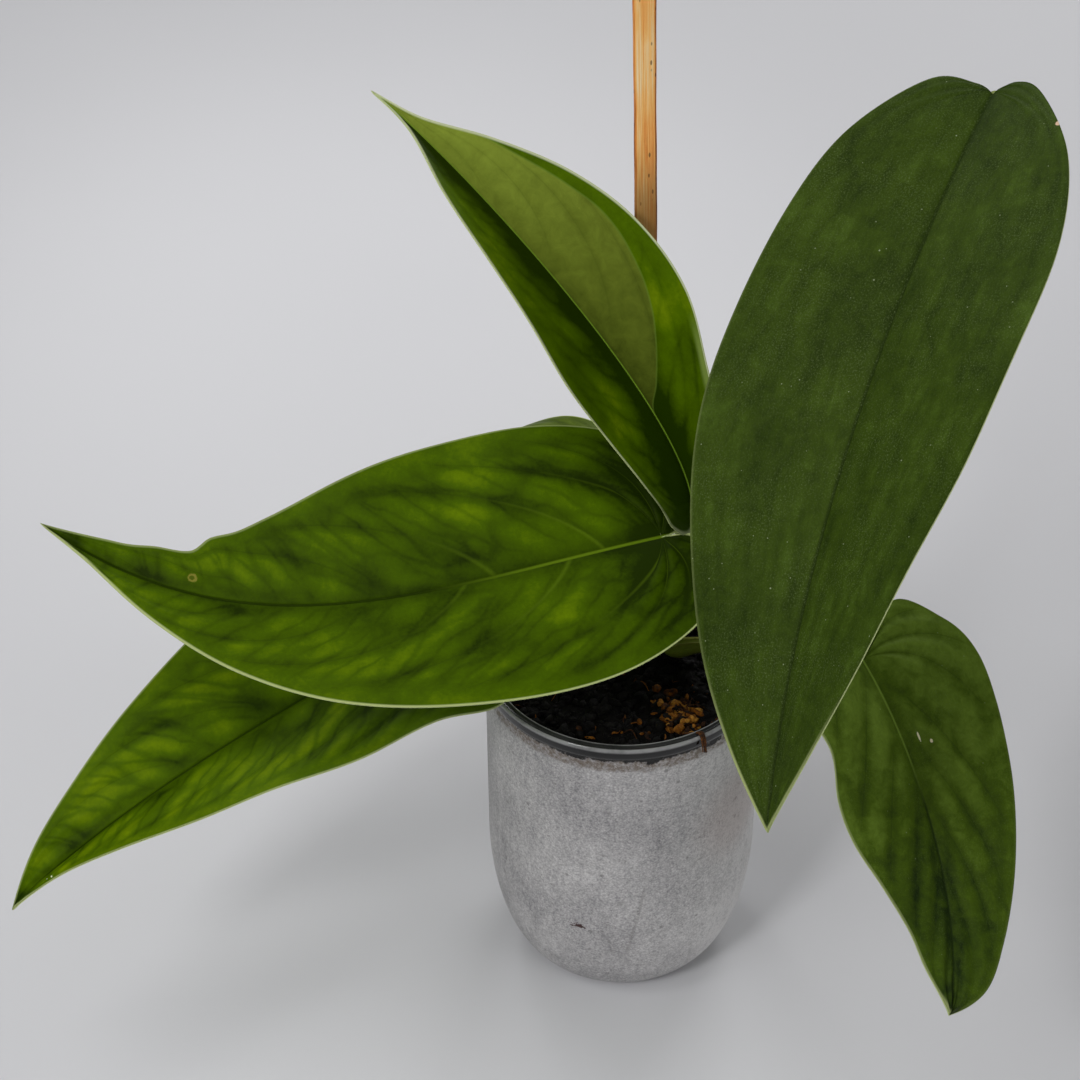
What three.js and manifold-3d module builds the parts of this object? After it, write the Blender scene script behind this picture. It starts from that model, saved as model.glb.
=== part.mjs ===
// Potted monstera obliqua: a young plant with six leaves beside a flat cane, in a clear plastic grow pot.
// Millimetres, +Z up. The origin is the centre of the pot's foot, and the plant is seen from -Y.
import * as THREE from 'three';
import { mergeVertices } from 'three/addons/utils/BufferGeometryUtils.js';
import Module from 'manifold-3d';

const wasm = await Module();
wasm.setup();

const { Vector2, Vector3 } = THREE;
const point = (xyz) => new Vector3(...xyz);

// Gap left between touching pieces
const GAP = 0.3;

// Grow pot
const POT_HEIGHT = 122;
const LIP_RADIUS = 45;
const LIP_INNER_RADIUS = 41.9;
const LIP_SKIRT = 4.2;
const WALL_TOP_RADIUS = 43.2;
const WALL_LOW_RADIUS = 43.6;
const WALL = 1.1;
const FOOT_RADIUS = 28;
const CORNER_HEIGHT = 47.4;
const POT_SEGMENTS = 48;

// Potting mix
const MIX_LEVEL = 110;
const MIX_DOME = 3;
const MIX_LUMPS = 54;
const CLUMP = { at: [19, -19, 112], radius: 4.2, bits: 7 };

// Cane: a flat split bamboo stake, its far end finished square above the picture's edge
const CANE = { width: 6.4, thickness: 3.4, round: 0.7, foot: [11.2, 30, 18], top: [3.9, 30, 368] };

// Stem: short and jointed, rooted in the mix beside the cane
const STEM_PATH = [[11, 12, 84], [11, 12, 110], [12.5, 10.5, 128], [14, 9, 143]];
const STEM_RADIUS = 3.5;
const STEM_TIP_RADIUS = 2.6;
const STEM_JOINTS = [0.55, 0.63, 0.71, 0.79, 0.89];
const STEM_JOINT_SWELL = 0.5;

// Leaf stalks
const STALK_SIDES = 10;
const STALK_STEP = 6;
const STALK_SEAT = 0.6;

// Blades
const BLADE = 0.8;
const RIDGE = 0.8;
const RIBS = 22;
const ACROSS = [0, 0.09, 0.34, 0.58, 0.8, 1];
const VEIN_LEAN = 0.55;
const STATIONS = [0.10, 0.22, 0.36, 0.50, 0.64, 0.78, 0.90];

// Each leaf: midrib as a cubic curve from stalk to tip, the way its upper face looks at both ends, how far each
// half is folded up at both ends in degrees, how much a half arches down, its basal lobes, the half-widths at the
// base and at the stations, the margin's waves, and its stalk from the stem to the blade
const LEAVES = {
  a: {
    colour: '#2c4322',
    midrib: [[98, 13, 311], [68, -41, 288], [40, -86, 232], [32, -135, 181]],
    faces: [[-0.4, -0.4, 0.8], [-0.6, -0.2, 0.75]],
    left: { fold: [12, 19], lobe: [4, 6], widths: [15, 32.5, 42, 44.5, 43, 36, 27.5, 14.5] },
    right: { fold: [9, 13], lobe: [2, 5.5], widths: [18, 32.5, 40, 44.5, 44.5, 39, 28.5, 14.5] },
    arch: 0.0007,
    wave: { height: 0.8, count: 2.5, start: 0.4 },
    stalk: { joint: 0.63, azimuth: 50, via: [[24, 24, 146], [50, 37, 214], [86, 31, 282]], radii: [2.6, 1.7, 1.9] },
  },
  b: {
    colour: '#4c7a1c',
    midrib: [[19, -10, 190], [15, 0, 216], [-38, 28, 272], [-71, 40, 299]],
    faces: [[-0.17, -0.57, 0.8], [0.32, -0.41, 0.85]],
    left: { fold: [47, 33], lobe: [8, 12], widths: [11.5, 19, 25.5, 29.5, 27, 23, 16, 3] },
    right: { fold: [46, 29], lobe: [8, 12], widths: [11.5, 18.5, 23, 30, 30, 24, 14, 4] },
    arch: -0.0001,
    wave: { height: 0.6, count: 2, start: 0 },
    stalk: { joint: 1, azimuth: 0, via: [[16.5, 6.5, 160], [20.6, 3, 178]], radii: [2.4, 1.7, 1.8] },
  },
  c: {
    colour: '#4f7d1a',
    midrib: [[10, -17, 182], [-55, -35, 180], [-111, -46, 158], [-171, -15, 189]],
    faces: [[0, -0.44, 0.9], [-0.02, -0.44, 0.9]],
    left: { fold: [13, 12], lobe: [13, 20], widths: [33, 41, 43, 40.5, 34, 24, 12, 3] },
    right: { fold: [11, 9], lobe: [13, 20], widths: [31.5, 39.5, 43.5, 43, 37, 26, 11, 6] },
    arch: 0.0008,
    wave: { height: 1, count: 2.5, start: 1 },
    stalk: { joint: 0.89, azimuth: 255, via: [[11.5, -1, 150], [9.8, -9, 166]], radii: [2.4, 1.7, 1.9] },
  },
  d: {
    colour: '#4a771a',
    midrib: [[-34, 1, 149], [-85, -10, 125], [-151, -50, 112], [-187, -67, 80]],
    faces: [[-0.01, -0.35, 0.94], [-0.04, -0.28, 0.96]],
    left: { fold: [7, 47], lobe: [10, 13], widths: [22, 37, 34.5, 35.5, 32, 28.5, 18, 6.5] },
    right: { fold: [20, 19], lobe: [10, 13], widths: [22, 32, 37.5, 39, 35.5, 27.5, 18.5, 10] },
    arch: 0.001,
    wave: { height: 1, count: 3, start: 2 },
    stalk: { joint: 0.71, azimuth: 185, via: [[-8, 14, 135], [-24, 10, 139]], radii: [2.6, 1.7, 1.9] },
  },
  e: {
    colour: '#2f4a20',
    midrib: [[70, -30, 144], [85, -57, 131], [98, -89, 94], [88, -125, 95]],
    faces: [[0.29, -0.4, 0.87], [0.28, -0.58, 0.77]],
    left: { fold: [14, 7], lobe: [12.5, 18], widths: [29, 33, 32.5, 29.5, 25.5, 21, 15.5, 10] },
    right: { fold: [17, 8], lobe: [12.5, 18], widths: [29.5, 31, 28, 30.5, 28.5, 22, 14.5, 9] },
    arch: 0.0009,
    wave: { height: 0.8, count: 2, start: 0.5 },
    stalk: { joint: 0.55, azimuth: -42, via: [[24, 1.5, 121.5], [42, -10, 131], [61, -22, 136]], radii: [3, 1.8, 1.9] },
  },
  f: {
    colour: '#5c7440',
    midrib: [[0, 36, 163], [-20, 44, 177], [-50, 54, 168], [-66, 66, 124]],
    faces: [[0.1, 0.3, 0.95], [-0.4, 0.6, 0.7]],
    left: { fold: [12, 10], lobe: [6, 8], widths: [13, 18, 20, 20.5, 18, 14, 9, 4] },
    right: { fold: [12, 10], lobe: [6, 8], widths: [13, 18, 20, 20.5, 18, 14, 9, 4] },
    arch: 0.0015,
    wave: { height: 0.6, count: 2, start: 0 },
    stalk: { joint: 0.79, azimuth: 125, via: [[2, 24, 140], [-4, 32, 148]], radii: [2.2, 1.5, 1.6] },
  },
};

const COLOURS = {
  pot: new THREE.MeshStandardMaterial({ color: '#a6a8a9', roughness: 0.45, metalness: 0 }),
  mix: new THREE.MeshStandardMaterial({ color: '#1b130d', roughness: 0.95, metalness: 0 }),
  cane: new THREE.MeshStandardMaterial({ color: '#b07a3c', roughness: 0.7, metalness: 0 }),
  stem: new THREE.MeshStandardMaterial({ color: '#5b6a1f', roughness: 0.5, metalness: 0 }),
};

// Seeded random numbers, so that every build is the same
function randomFrom(seed) {
  let state = seed;
  return () => {
    state = (state * 1664525 + 1013904223) % 4294967296;
    return state / 4294967296;
  };
}

function geometryFrom(points, triangles) {
  const geometry = new THREE.BufferGeometry();
  geometry.setAttribute('position', new THREE.Float32BufferAttribute(points.flatMap((p) => [p.x, p.y, p.z]), 3));
  geometry.setIndex(triangles.flat());
  return geometry;
}

function positionsOnly(geometry) {
  const bare = geometry.clone();
  bare.deleteAttribute('normal');
  bare.deleteAttribute('uv');
  return mergeVertices(bare, 1e-4);
}

function solidOf(geometry) {
  const bare = positionsOnly(geometry);
  const vertProperties = new Float32Array(bare.attributes.position.array);
  const triVerts = new Uint32Array(bare.index.array);
  return new wasm.Manifold(new wasm.Mesh({ numProp: 3, vertProperties, triVerts }));
}

function geometryOf(solid) {
  const mesh = solid.getMesh();
  const geometry = new THREE.BufferGeometry();
  geometry.setAttribute('position', new THREE.BufferAttribute(new Float32Array(mesh.vertProperties), 3));
  geometry.setIndex(new THREE.BufferAttribute(new Uint32Array(mesh.triVerts), 1));
  return geometry;
}

// A profile of radius and height turned about the vertical axis
function turned(profile, segments) {
  const geometry = new THREE.LatheGeometry(profile.map(([r, z]) => new Vector2(r, z)), segments);
  geometry.rotateX(Math.PI / 2);
  return positionsOnly(geometry);
}

// Quarter ellipse of the pot's base corner, from the foot up to the wall
function cornerProfile(inset, steps) {
  const reach = WALL_LOW_RADIUS - FOOT_RADIUS - inset;
  const rise = CORNER_HEIGHT - inset;
  return Array.from({ length: steps + 1 }, (_, i) => {
    const angle = (i / steps) * Math.PI / 2;
    return [FOOT_RADIUS + reach * Math.sin(angle), CORNER_HEIGHT - rise * Math.cos(angle)];
  });
}

function potGeometry() {
  const skirtBottom = POT_HEIGHT - LIP_SKIRT;
  const lipUnderside = POT_HEIGHT - 1.8;
  const outside = [[0, 0], ...cornerProfile(0, 7)];
  const lip = [
    [WALL_TOP_RADIUS, lipUnderside - 0.5], [WALL_TOP_RADIUS + 0.5, lipUnderside],
    [LIP_RADIUS - 1, lipUnderside - 0.4], [LIP_RADIUS - 0.9, skirtBottom], [LIP_RADIUS - 0.1, skirtBottom],
    [LIP_RADIUS, POT_HEIGHT - 1], [LIP_RADIUS - 0.6, POT_HEIGHT - 0.2], [LIP_RADIUS - 1.3, POT_HEIGHT],
    [LIP_INNER_RADIUS + 0.7, POT_HEIGHT], [LIP_INNER_RADIUS, POT_HEIGHT - 0.6],
  ];
  const inside = cornerProfile(WALL, 6).reverse();
  const floor = [[0, WALL]];
  return turned([...outside, ...lip, ...inside, ...floor], POT_SEGMENTS);
}

// A rounded crumb of bark or moss
function crumb(at, radius, random) {
  const geometry = new THREE.IcosahedronGeometry(radius, 0);
  geometry.scale(0.7 + 0.7 * random(), 0.7 + 0.7 * random(), 0.5 + 0.4 * random());
  geometry.rotateX(random() * Math.PI);
  geometry.rotateZ(random() * Math.PI);
  geometry.translate(...at);
  return geometry;
}

function mixGeometry() {
  const random = randomFrom(41);
  const side = WALL + GAP;
  const corner = cornerProfile(side, 6);
  const edge = LIP_INNER_RADIUS - 0.3 - GAP;
  const crown = Array.from({ length: 5 }, (_, i) => {
    const share = 1 - (i + 1) / 5;
    return [edge * share, MIX_LEVEL + MIX_DOME * (1 - share * share)];
  });
  const body = turned([[0, side], ...corner, [edge, MIX_LEVEL], ...crown], POT_SEGMENTS / 2);
  let solid = solidOf(body);
  for (let i = 0; i < MIX_LUMPS; i += 1) {
    const distance = (edge - 6) * Math.sqrt(random());
    const angle = random() * 2 * Math.PI;
    const level = MIX_LEVEL + MIX_DOME * (1 - (distance / edge) ** 2);
    const at = [distance * Math.cos(angle), distance * Math.sin(angle), level - 0.2];
    solid = solid.add(solidOf(crumb(at, 1.6 + 2.2 * random(), random)));
  }
  for (let i = 0; i < CLUMP.bits; i += 1) {
    const at = CLUMP.at.map((value) => value + (random() - 0.5) * 1.2 * CLUMP.radius);
    solid = solid.add(solidOf(crumb(at, CLUMP.radius * (0.6 + 0.5 * random()), random)));
  }
  const caneHole = solidOf(caneGeometry(GAP));
  const stemHole = solidOf(tube(curveThrough(STEM_PATH), () => STEM_RADIUS + GAP + 0.3, 12, STALK_STEP, 0.6));
  return geometryOf(solid.subtract(caneHole).subtract(stemHole));
}

function caneGeometry(clearance) {
  const { width, thickness, round, foot, top } = CANE;
  const halfWidth = width / 2 + clearance;
  const halfThickness = thickness / 2 + clearance;
  const outline = new THREE.Shape();
  outline.moveTo(-halfWidth + round, -halfThickness);
  outline.lineTo(halfWidth - round, -halfThickness);
  outline.quadraticCurveTo(halfWidth, -halfThickness, halfWidth, -halfThickness + round);
  outline.lineTo(halfWidth, halfThickness - round);
  outline.quadraticCurveTo(halfWidth, halfThickness, halfWidth - round, halfThickness);
  outline.lineTo(-halfWidth + round, halfThickness);
  outline.quadraticCurveTo(-halfWidth, halfThickness, -halfWidth, halfThickness - round);
  outline.lineTo(-halfWidth, -halfThickness + round);
  outline.quadraticCurveTo(-halfWidth, -halfThickness, -halfWidth + round, -halfThickness);
  const run = point(top).sub(point(foot));
  const depth = run.length() + 2 * clearance;
  const geometry = new THREE.ExtrudeGeometry(outline, { depth, bevelEnabled: false, curveSegments: 3 });
  geometry.translate(0, 0, -clearance);
  geometry.applyQuaternion(new THREE.Quaternion().setFromUnitVectors(new Vector3(0, 0, 1), run.normalize()));
  geometry.translate(...foot);
  return positionsOnly(geometry);
}

const curveThrough = (points) => new THREE.CatmullRomCurve3(points.map(point), false, 'centripetal');

// A closed tube along a curve, with its radius given along the way and both ends capped
function tube(curve, radiusAt, sides, step, stretch = 0) {
  const rings = Math.max(4, Math.round(curve.getLength() / step));
  const { normals, binormals } = curve.computeFrenetFrames(rings, false);
  const points = [];
  const triangles = [];
  for (let i = 0; i <= rings; i += 1) {
    const along = i / rings;
    const centre = curve.getPointAt(along);
    const end = curve.getTangentAt(along).multiplyScalar(stretch * ((i === rings) - (i === 0)));
    for (let j = 0; j < sides; j += 1) {
      const angle = (j / sides) * 2 * Math.PI;
      const out = normals[i].clone().multiplyScalar(Math.cos(angle)).addScaledVector(binormals[i], Math.sin(angle));
      points.push(centre.clone().addScaledVector(out, radiusAt(along)).add(end));
    }
  }
  for (let i = 0; i < rings; i += 1) {
    for (let j = 0; j < sides; j += 1) {
      const here = i * sides + j;
      const next = i * sides + (j + 1) % sides;
      triangles.push([here, next, here + sides], [next, next + sides, here + sides]);
    }
  }
  const last = rings * sides;
  for (let j = 1; j < sides - 1; j += 1) {
    triangles.push([0, j + 1, j], [last, last + j, last + j + 1]);
  }
  return geometryFrom(points, triangles);
}

function stemRadius(along) {
  const plain = STEM_RADIUS + (STEM_TIP_RADIUS - STEM_RADIUS) * along;
  const swell = STEM_JOINTS.map((joint) => Math.exp(-(((along - joint) / 0.025) ** 2)));
  return plain + STEM_JOINT_SWELL * Math.max(...swell);
}

// A stalk leaves the stem squarely at a joint, and the youngest one carries on from the stem's end
function stalkFoot({ joint, azimuth }) {
  const axis = curveThrough(STEM_PATH);
  const centre = axis.getPointAt(joint);
  const angle = THREE.MathUtils.degToRad(azimuth);
  const atEnd = joint === 1;
  const tangent = axis.getTangentAt(joint);
  const sideways = new Vector3(Math.cos(angle), Math.sin(angle), 0);
  sideways.addScaledVector(tangent, -sideways.dot(tangent)).normalize();
  const out = atEnd ? tangent : sideways;
  const clear = atEnd ? GAP : STALK_SEAT + stemRadius(joint);
  const first = centre.clone().addScaledVector(out, clear);
  const second = first.clone().addScaledVector(out, 3);
  return [first.toArray(), second.toArray()];
}

// The smooth outline of one half-blade: distance along the midrib and distance from it
function halfOutline(half, length) {
  const [back, out] = half.lobe;
  const [baseWidth, ...widths] = half.widths;
  const inner = widths.map((width, i) => new Vector2(STATIONS[i] * length, width));
  return new THREE.SplineCurve([
    new Vector2(0, 0), new Vector2(-back, out), new Vector2(0, baseWidth), ...inner, new Vector2(length, 0),
  ]);
}

// The blade's middle surface: along and across the flat leaf to a place in space
function bladeSurface(leaf) {
  const midrib = new THREE.CubicBezierCurve3(...leaf.midrib.map(point));
  const length = midrib.getLength();
  const faces = leaf.faces.map(point);
  const widest = Math.max(...leaf.left.widths);
  const place = (along, across, side) => {
    const onRib = THREE.MathUtils.clamp(along, 0, length);
    const share = onRib / length;
    const tangent = midrib.getTangentAt(share);
    const centre = midrib.getPointAt(share).addScaledVector(tangent, along - onRib);
    const normal = faces[0].clone().lerp(faces[1], share);
    normal.addScaledVector(tangent, -normal.dot(tangent)).normalize();
    const out = normal.clone().cross(tangent).multiplyScalar(side);
    const [foldBase, foldTip] = (side > 0 ? leaf.left : leaf.right).fold;
    const fold = THREE.MathUtils.degToRad(foldBase + (foldTip - foldBase) * share);
    const { height, count, start } = leaf.wave;
    const ripple = height * (across / widest) ** 2 * Math.sin(2 * Math.PI * count * share + start + side);
    const lift = across * Math.sin(fold) - leaf.arch * across * across + ripple;
    return centre.addScaledVector(out, across * Math.cos(fold)).addScaledVector(normal, lift);
  };
  return { length, place };
}

// A closed blade: ribs fan out from the midrib to the margin, and the same grid is used above and below
function bladeGeometry(leaf) {
  const { length, place } = bladeSurface(leaf);
  const grid = { points: [], ridge: [], lookup: new Map() };
  const vertex = (along, across, side) => {
    const at = place(along, across, side);
    const key = [at.x, at.y, at.z].map((value) => value.toFixed(3)).join();
    if (!grid.lookup.has(key)) {
      grid.lookup.set(key, grid.points.length);
      grid.points.push(at);
      grid.ridge.push(across === 0 ? RIDGE * (1 - 0.8 * Math.max(along, 0) / length) : 0);
    }
    return grid.lookup.get(key);
  };
  const triangles = [];
  const addTriangle = (a, b, c) => {
    if (a !== b && b !== c && c !== a) triangles.push([a, b, c]);
  };
  const outlines = { 1: halfOutline(leaf.left, length), [-1]: halfOutline(leaf.right, length) };
  const edges = {};
  for (const side of [1, -1]) edges[side] = outlines[side].getSpacedPoints(RIBS);
  const feet = edges[1].map((edge, k) => {
    const middle = edge.clone().add(edges[-1][k]).multiplyScalar(0.5);
    return k === RIBS ? length : Math.max(0, middle.x - VEIN_LEAN * middle.y);
  });
  const margins = {};
  for (const side of [1, -1]) {
    const rows = edges[side].map((edge, k) => ACROSS.map((t) => {
      return vertex(feet[k] + (edge.x - feet[k]) * t ** 1.25, edge.y * t, side);
    }));
    for (let k = 0; k < RIBS; k += 1) {
      for (let j = 0; j < ACROSS.length - 1; j += 1) {
        const [a, b, c, d] = [rows[k][j], rows[k][j + 1], rows[k + 1][j + 1], rows[k + 1][j]];
        if (side > 0) {
          addTriangle(a, c, b);
          addTriangle(a, d, c);
        } else {
          addTriangle(a, b, c);
          addTriangle(a, c, d);
        }
      }
    }
    margins[side] = rows.map((row) => row[row.length - 1]);
  }
  const border = [...margins[1], ...margins[-1].slice(1, -1).reverse()];
  return thickened(grid, triangles, border);
}

// Give a sheet its thickness along its own normals, with a rib raised below the midrib
function thickened(grid, triangles, border) {
  const normals = grid.points.map(() => new Vector3());
  for (const [a, b, c] of triangles) {
    const [p, q, r] = [grid.points[a], grid.points[b], grid.points[c]];
    const face = q.clone().sub(p).cross(r.clone().sub(p));
    for (const corner of [a, b, c]) normals[corner].add(face);
  }
  normals.forEach((normal) => normal.normalize());
  const upper = grid.points.map((p, i) => p.clone().addScaledVector(normals[i], BLADE / 2));
  const lower = grid.points.map((p, i) => p.clone().addScaledVector(normals[i], -BLADE / 2 - grid.ridge[i]));
  const count = grid.points.length;
  const faces = [...triangles, ...triangles.map(([a, b, c]) => [a + count, c + count, b + count])];
  border.forEach((here, i) => {
    const next = border[(i + 1) % border.length];
    faces.push([here, next, next + count], [here, next + count, here + count]);
  });
  return positionsOnly(geometryFrom([...upper, ...lower], faces));
}

// A stalk runs from the stem to the underside of its blade and meets it square on
function stalkGeometry(leaf) {
  const { length, place } = bladeSurface(leaf);
  const base = place(0, 0, 1);
  const tangent = place(0.02 * length, 0, 1).sub(base).normalize();
  const normal = point(leaf.faces[0]);
  normal.addScaledVector(tangent, -normal.dot(tangent)).normalize();
  const seat = BLADE / 2 + RIDGE + GAP;
  const near = base.clone().addScaledVector(normal, -seat - 7);
  const end = base.clone().addScaledVector(normal, -seat);
  const path = [...stalkFoot(leaf.stalk), ...leaf.stalk.via, near.toArray(), end.toArray()];
  const [foot, middle, neck] = leaf.stalk.radii;
  const radiusAt = (along) => {
    const sheath = (foot - middle) * Math.exp(-((along / 0.16) ** 2));
    const knee = (neck - middle) * Math.exp(-(((1 - along) / 0.12) ** 2));
    return middle + sheath + knee;
  };
  return tube(curveThrough(path), radiusAt, STALK_SIDES, STALK_STEP);
}

function mesh(name, geometry, material) {
  const made = new THREE.Mesh(geometry, material);
  geometry.computeVertexNormals();
  made.name = name;
  return made;
}

const plant = new THREE.Group();
plant.add(mesh('pot', potGeometry(), COLOURS.pot));
plant.add(mesh('potting_mix', mixGeometry(), COLOURS.mix));
plant.add(mesh('cane', caneGeometry(0), COLOURS.cane));
plant.add(mesh('stem', tube(curveThrough(STEM_PATH), stemRadius, 12, 1.8), COLOURS.stem));
for (const [letter, leaf] of Object.entries(LEAVES)) {
  const green = new THREE.MeshStandardMaterial({ color: leaf.colour, roughness: 0.5, metalness: 0 });
  plant.add(mesh(`stalk_${letter}`, stalkGeometry(leaf), COLOURS.stem));
  plant.add(mesh(`leaf_${letter}`, bladeGeometry(leaf), green));
}

export default plant;
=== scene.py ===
"""Looks of the potted monstera obliqua, built round its CAD frame. +Z up; the plant's sizes are in mm."""

import math
import random
from dataclasses import dataclass
from types import SimpleNamespace

import bpy
import numpy as np
from mathutils import Matrix, Vector, noise


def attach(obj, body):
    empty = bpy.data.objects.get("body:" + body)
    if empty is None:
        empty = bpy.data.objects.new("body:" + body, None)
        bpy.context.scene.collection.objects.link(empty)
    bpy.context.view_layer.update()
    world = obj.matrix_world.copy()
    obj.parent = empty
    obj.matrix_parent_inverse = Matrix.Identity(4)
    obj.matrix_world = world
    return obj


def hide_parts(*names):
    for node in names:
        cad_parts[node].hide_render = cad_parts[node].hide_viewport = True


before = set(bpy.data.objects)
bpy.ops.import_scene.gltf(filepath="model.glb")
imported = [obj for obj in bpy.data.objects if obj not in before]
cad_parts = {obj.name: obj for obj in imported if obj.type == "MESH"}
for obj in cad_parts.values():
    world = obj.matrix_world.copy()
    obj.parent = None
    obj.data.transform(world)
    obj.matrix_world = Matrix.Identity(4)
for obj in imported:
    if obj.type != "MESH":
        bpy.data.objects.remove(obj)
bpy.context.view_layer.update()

MM = 0.001
SEED = 7

# Camera: where it stands in metres, how far it looks down and leans in degrees, its lens and its sensor
CAMERA_PLACE = (-0.0255, -0.5983, 0.6713)
CAMERA_PITCH = 40.12
CAMERA_ROLL = -0.82
CAMERA_LENS = 86.667
SENSOR = 36.0

# Soft lights, in metres: place, size and watts. All of them look at LIGHT_AIM.
LIGHT_AIM = (0, 0, 0.1)
SOFTBOXES = {
    "key_softbox": ((-1.0, -1.3, 1.6), 0.4, 13.4),
    "front_softbox": ((0.1, -1.3, 0.9), 0.6, 1.8),
    "left_softbox": ((-0.9, -0.6, 1.3), 0.6, 2.5),
    "top_left_softbox": ((-0.5, -0.2, 1.5), 0.6, 4.6),
    "top_softbox": ((0.0, -0.6, 1.6), 1.2, 3.7),
    "right_softbox": ((1.2, -0.8, 0.7), 0.7, 3.7),
    "back_right_softbox": ((0.5, 1.1, 0.9), 0.7, 6.2),
    "back_left_softbox": ((-0.5, 1.0, 0.9), 0.7, 2.7),
}
ROOM_LIGHT = 0.01
FLOOR_REACH = 4.0

# Pot, in millimetres as in the CAD, and so are all sizes below
POT_HEIGHT = 122.0
LIP_RADIUS = 45.0
LIP_INNER_RADIUS = 41.9
LIP_SKIRT = 4.2
WALL_TOP_RADIUS = 43.2
WALL_LOW_RADIUS = 43.6
WALL = 1.1
FOOT_RADIUS = 28.0
CORNER_HEIGHT = 47.4
POT_SEGMENTS = 160

# Seen through the wall: a root and a crumb, as turns from the front and heights, and where a rusty stain is
ROOT_TURN = -0.02
ROOT_LOW = 26.0
ROOT_HIGH = 66.0
ROOT_LEAN = 0.004
ROOT_DISTANCE = 44.0
CRUMB_TURN = -0.35
CRUMB_HEIGHT = 39.5
STAIN_AT = (37.0, -24.0, 78.0)

# The dirty line on the wall, how soft its edges are, and where painted shade starts below the lip, for the
# pot's shaded inside seen through the clear wall
DIRT_LOW = 110.6
DIRT_HIGH = 117.0
DIRT_EDGE = 1.8
PAINTED_SHADE_FROM = 115.3

# Potting mix, the middle of the mossy clump on it, and the dry strand that hangs over the lip
MIX_LEVEL = 110.0
MIX_DOME = 3.0
MIX_EDGE = 41.3
MIX_RINGS = 64
MIX_SEGMENTS = 128
CRUMBS = 1300
CLUMP_AT = (17.0, -21.5, 113.0)
STRAND = [(17.5, -29.5, 114.0), (20.0, -34.5, 118.5), (22.0, -38.2, 122.4), (22.6, -39.9, 122.2),
          (23.2, -40.9, 117.0)]
STRAND_RADIUS = 0.42

# Cane. It leans to the left by CANE_LEAN, from CANE_START at ground level, and its lower part is weathered.
CANE_WIDTH = 6.4
CANE_THICKNESS = 3.4
CANE_FOOT = (11.2, 30.0, 18.0)
CANE_TOP = (3.9, 30.0, 368.0)
CANE_AT_MIX = (9.2, 30.0)
CANE_LEAN = 0.0209
CANE_START = 11.6
WEATHERED_BELOW = 262.0
SOUND_ABOVE = 292.0

# Stem, and the gaps by which the CAD keeps its solids apart
STEM_PATH = [(11, 12, 84), (11, 12, 110), (12.5, 10.5, 128), (14, 9, 143)]
STEM_RADIUS = 3.5
STEM_TIP_RADIUS = 2.6
STEM_JOINTS = (0.55, 0.63, 0.71, 0.79, 0.89)
GAP = 0.3
STALK_SEAT = 0.6
BLADE_SEAT = 1.5

# Blades: thickness, how far the rim bulges, mesh counts, the mesh's lean, and the cells between veins
BLADE = 0.7
RIM = 0.3
RIBS = 190
ACROSS = 34
VEIN_LEAN = 0.85
CELL_WIDTH = 9.5
CELL_LENGTH = 15.0
CELL_SLANT = 0.7
CELL_CURL = 0.012

# Where a blade's half-widths are given, as shares of its length. The first one is given at the stalk's end.
STATIONS = (0.10, 0.22, 0.36, 0.50, 0.64, 0.78, 0.90)


@dataclass
class Half:
    """One half of a blade, as in the CAD but for fuller lobes on B and C. veins and dents show close up."""
    fold: tuple  # degrees by which it folds up, at the stalk's end and at the tip
    behind: list  # points of the margin behind the stalk's end, its lobe: along, then across
    widths: tuple  # half-widths at the stalk's end and at the stations
    veins: tuple  # where the side veins start, as shares of the way along the margin
    dents: tuple = ()  # dips and swellings of the margin: place, depth, reach to the stalk and to the tip


@dataclass
class Leaf:
    """A leaf's shape: first what the CAD has, then what only shows close up."""
    midrib: list  # control points of the midrib's curve
    faces: list  # the way the upper face looks, at the stalk's end and at the tip
    left: Half
    right: Half
    arch: float  # how strongly each half bends down towards its margin
    wave: tuple  # height, count and start of the waves along the margin
    joint: float  # where the stalk leaves the stem, as a share of the stem
    azimuth: float  # the heading in which it leaves
    via: list  # points that the stalk passes
    radii: tuple  # the stalk's radius at its foot, middle and neck
    sweep: tuple  # how the side veins sweep towards the tip, and how much they curl
    quilt: float  # how high the blade stands between the side veins
    channel: float  # how deep the midrib's channel is


@dataclass
class Look:
    """A leaf's colours and how strongly each pattern shows."""
    greens: tuple  # dark, middle and lit
    vein: str = "#5c7512"
    under: str = "#8fa673"
    lightness: float = 0.5
    mottle: float = 0.45
    clouds: float = 0.25
    # cells: a net of small veins, with painted light through the blade inside the cells and painted shade in
    # the lines between them
    cells: float = 0.24
    # bands: painted shade in the grooves along the side veins
    bands: float = 0.3  # dark bands along the side veins
    lines: float = 0.4  # pale lines on the side veins near the stalk
    streaks: float = 0.0
    # base_shade: painted shade towards the stalk's end; below zero it is painted light there
    base_shade: float = 0.1
    shade_reach: float = 0.3
    # rib_shade: painted shade in a strip beside the midrib, up to rib_reach mm wide
    rib_shade: float = 0.25
    rib_reach: float = 6.0
    rib_width: float = 0.7
    rib_pale: float = 0.3  # up to where along the leaf the midrib is pale
    rough: float = 0.5
    gloss: float = 0.06
    specks: float = 0.0
    dust: float = 0.0
    margin: tuple = (0.9, 0.9)  # how pale the left and right margins are
    tip_margin: float = 0.0
    base_margin: float = 1.0
    margin_width: float = 0.7
    margin_colour: str = "#b4bf80"
    # The patch outlined by zone is painted sheen: it stands for a soft light's reflection.
    zone: tuple = ()  # outline of the satin patch: along, then across
    marks: tuple = ()  # single spots: along, across, size, stretch and colour


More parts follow.
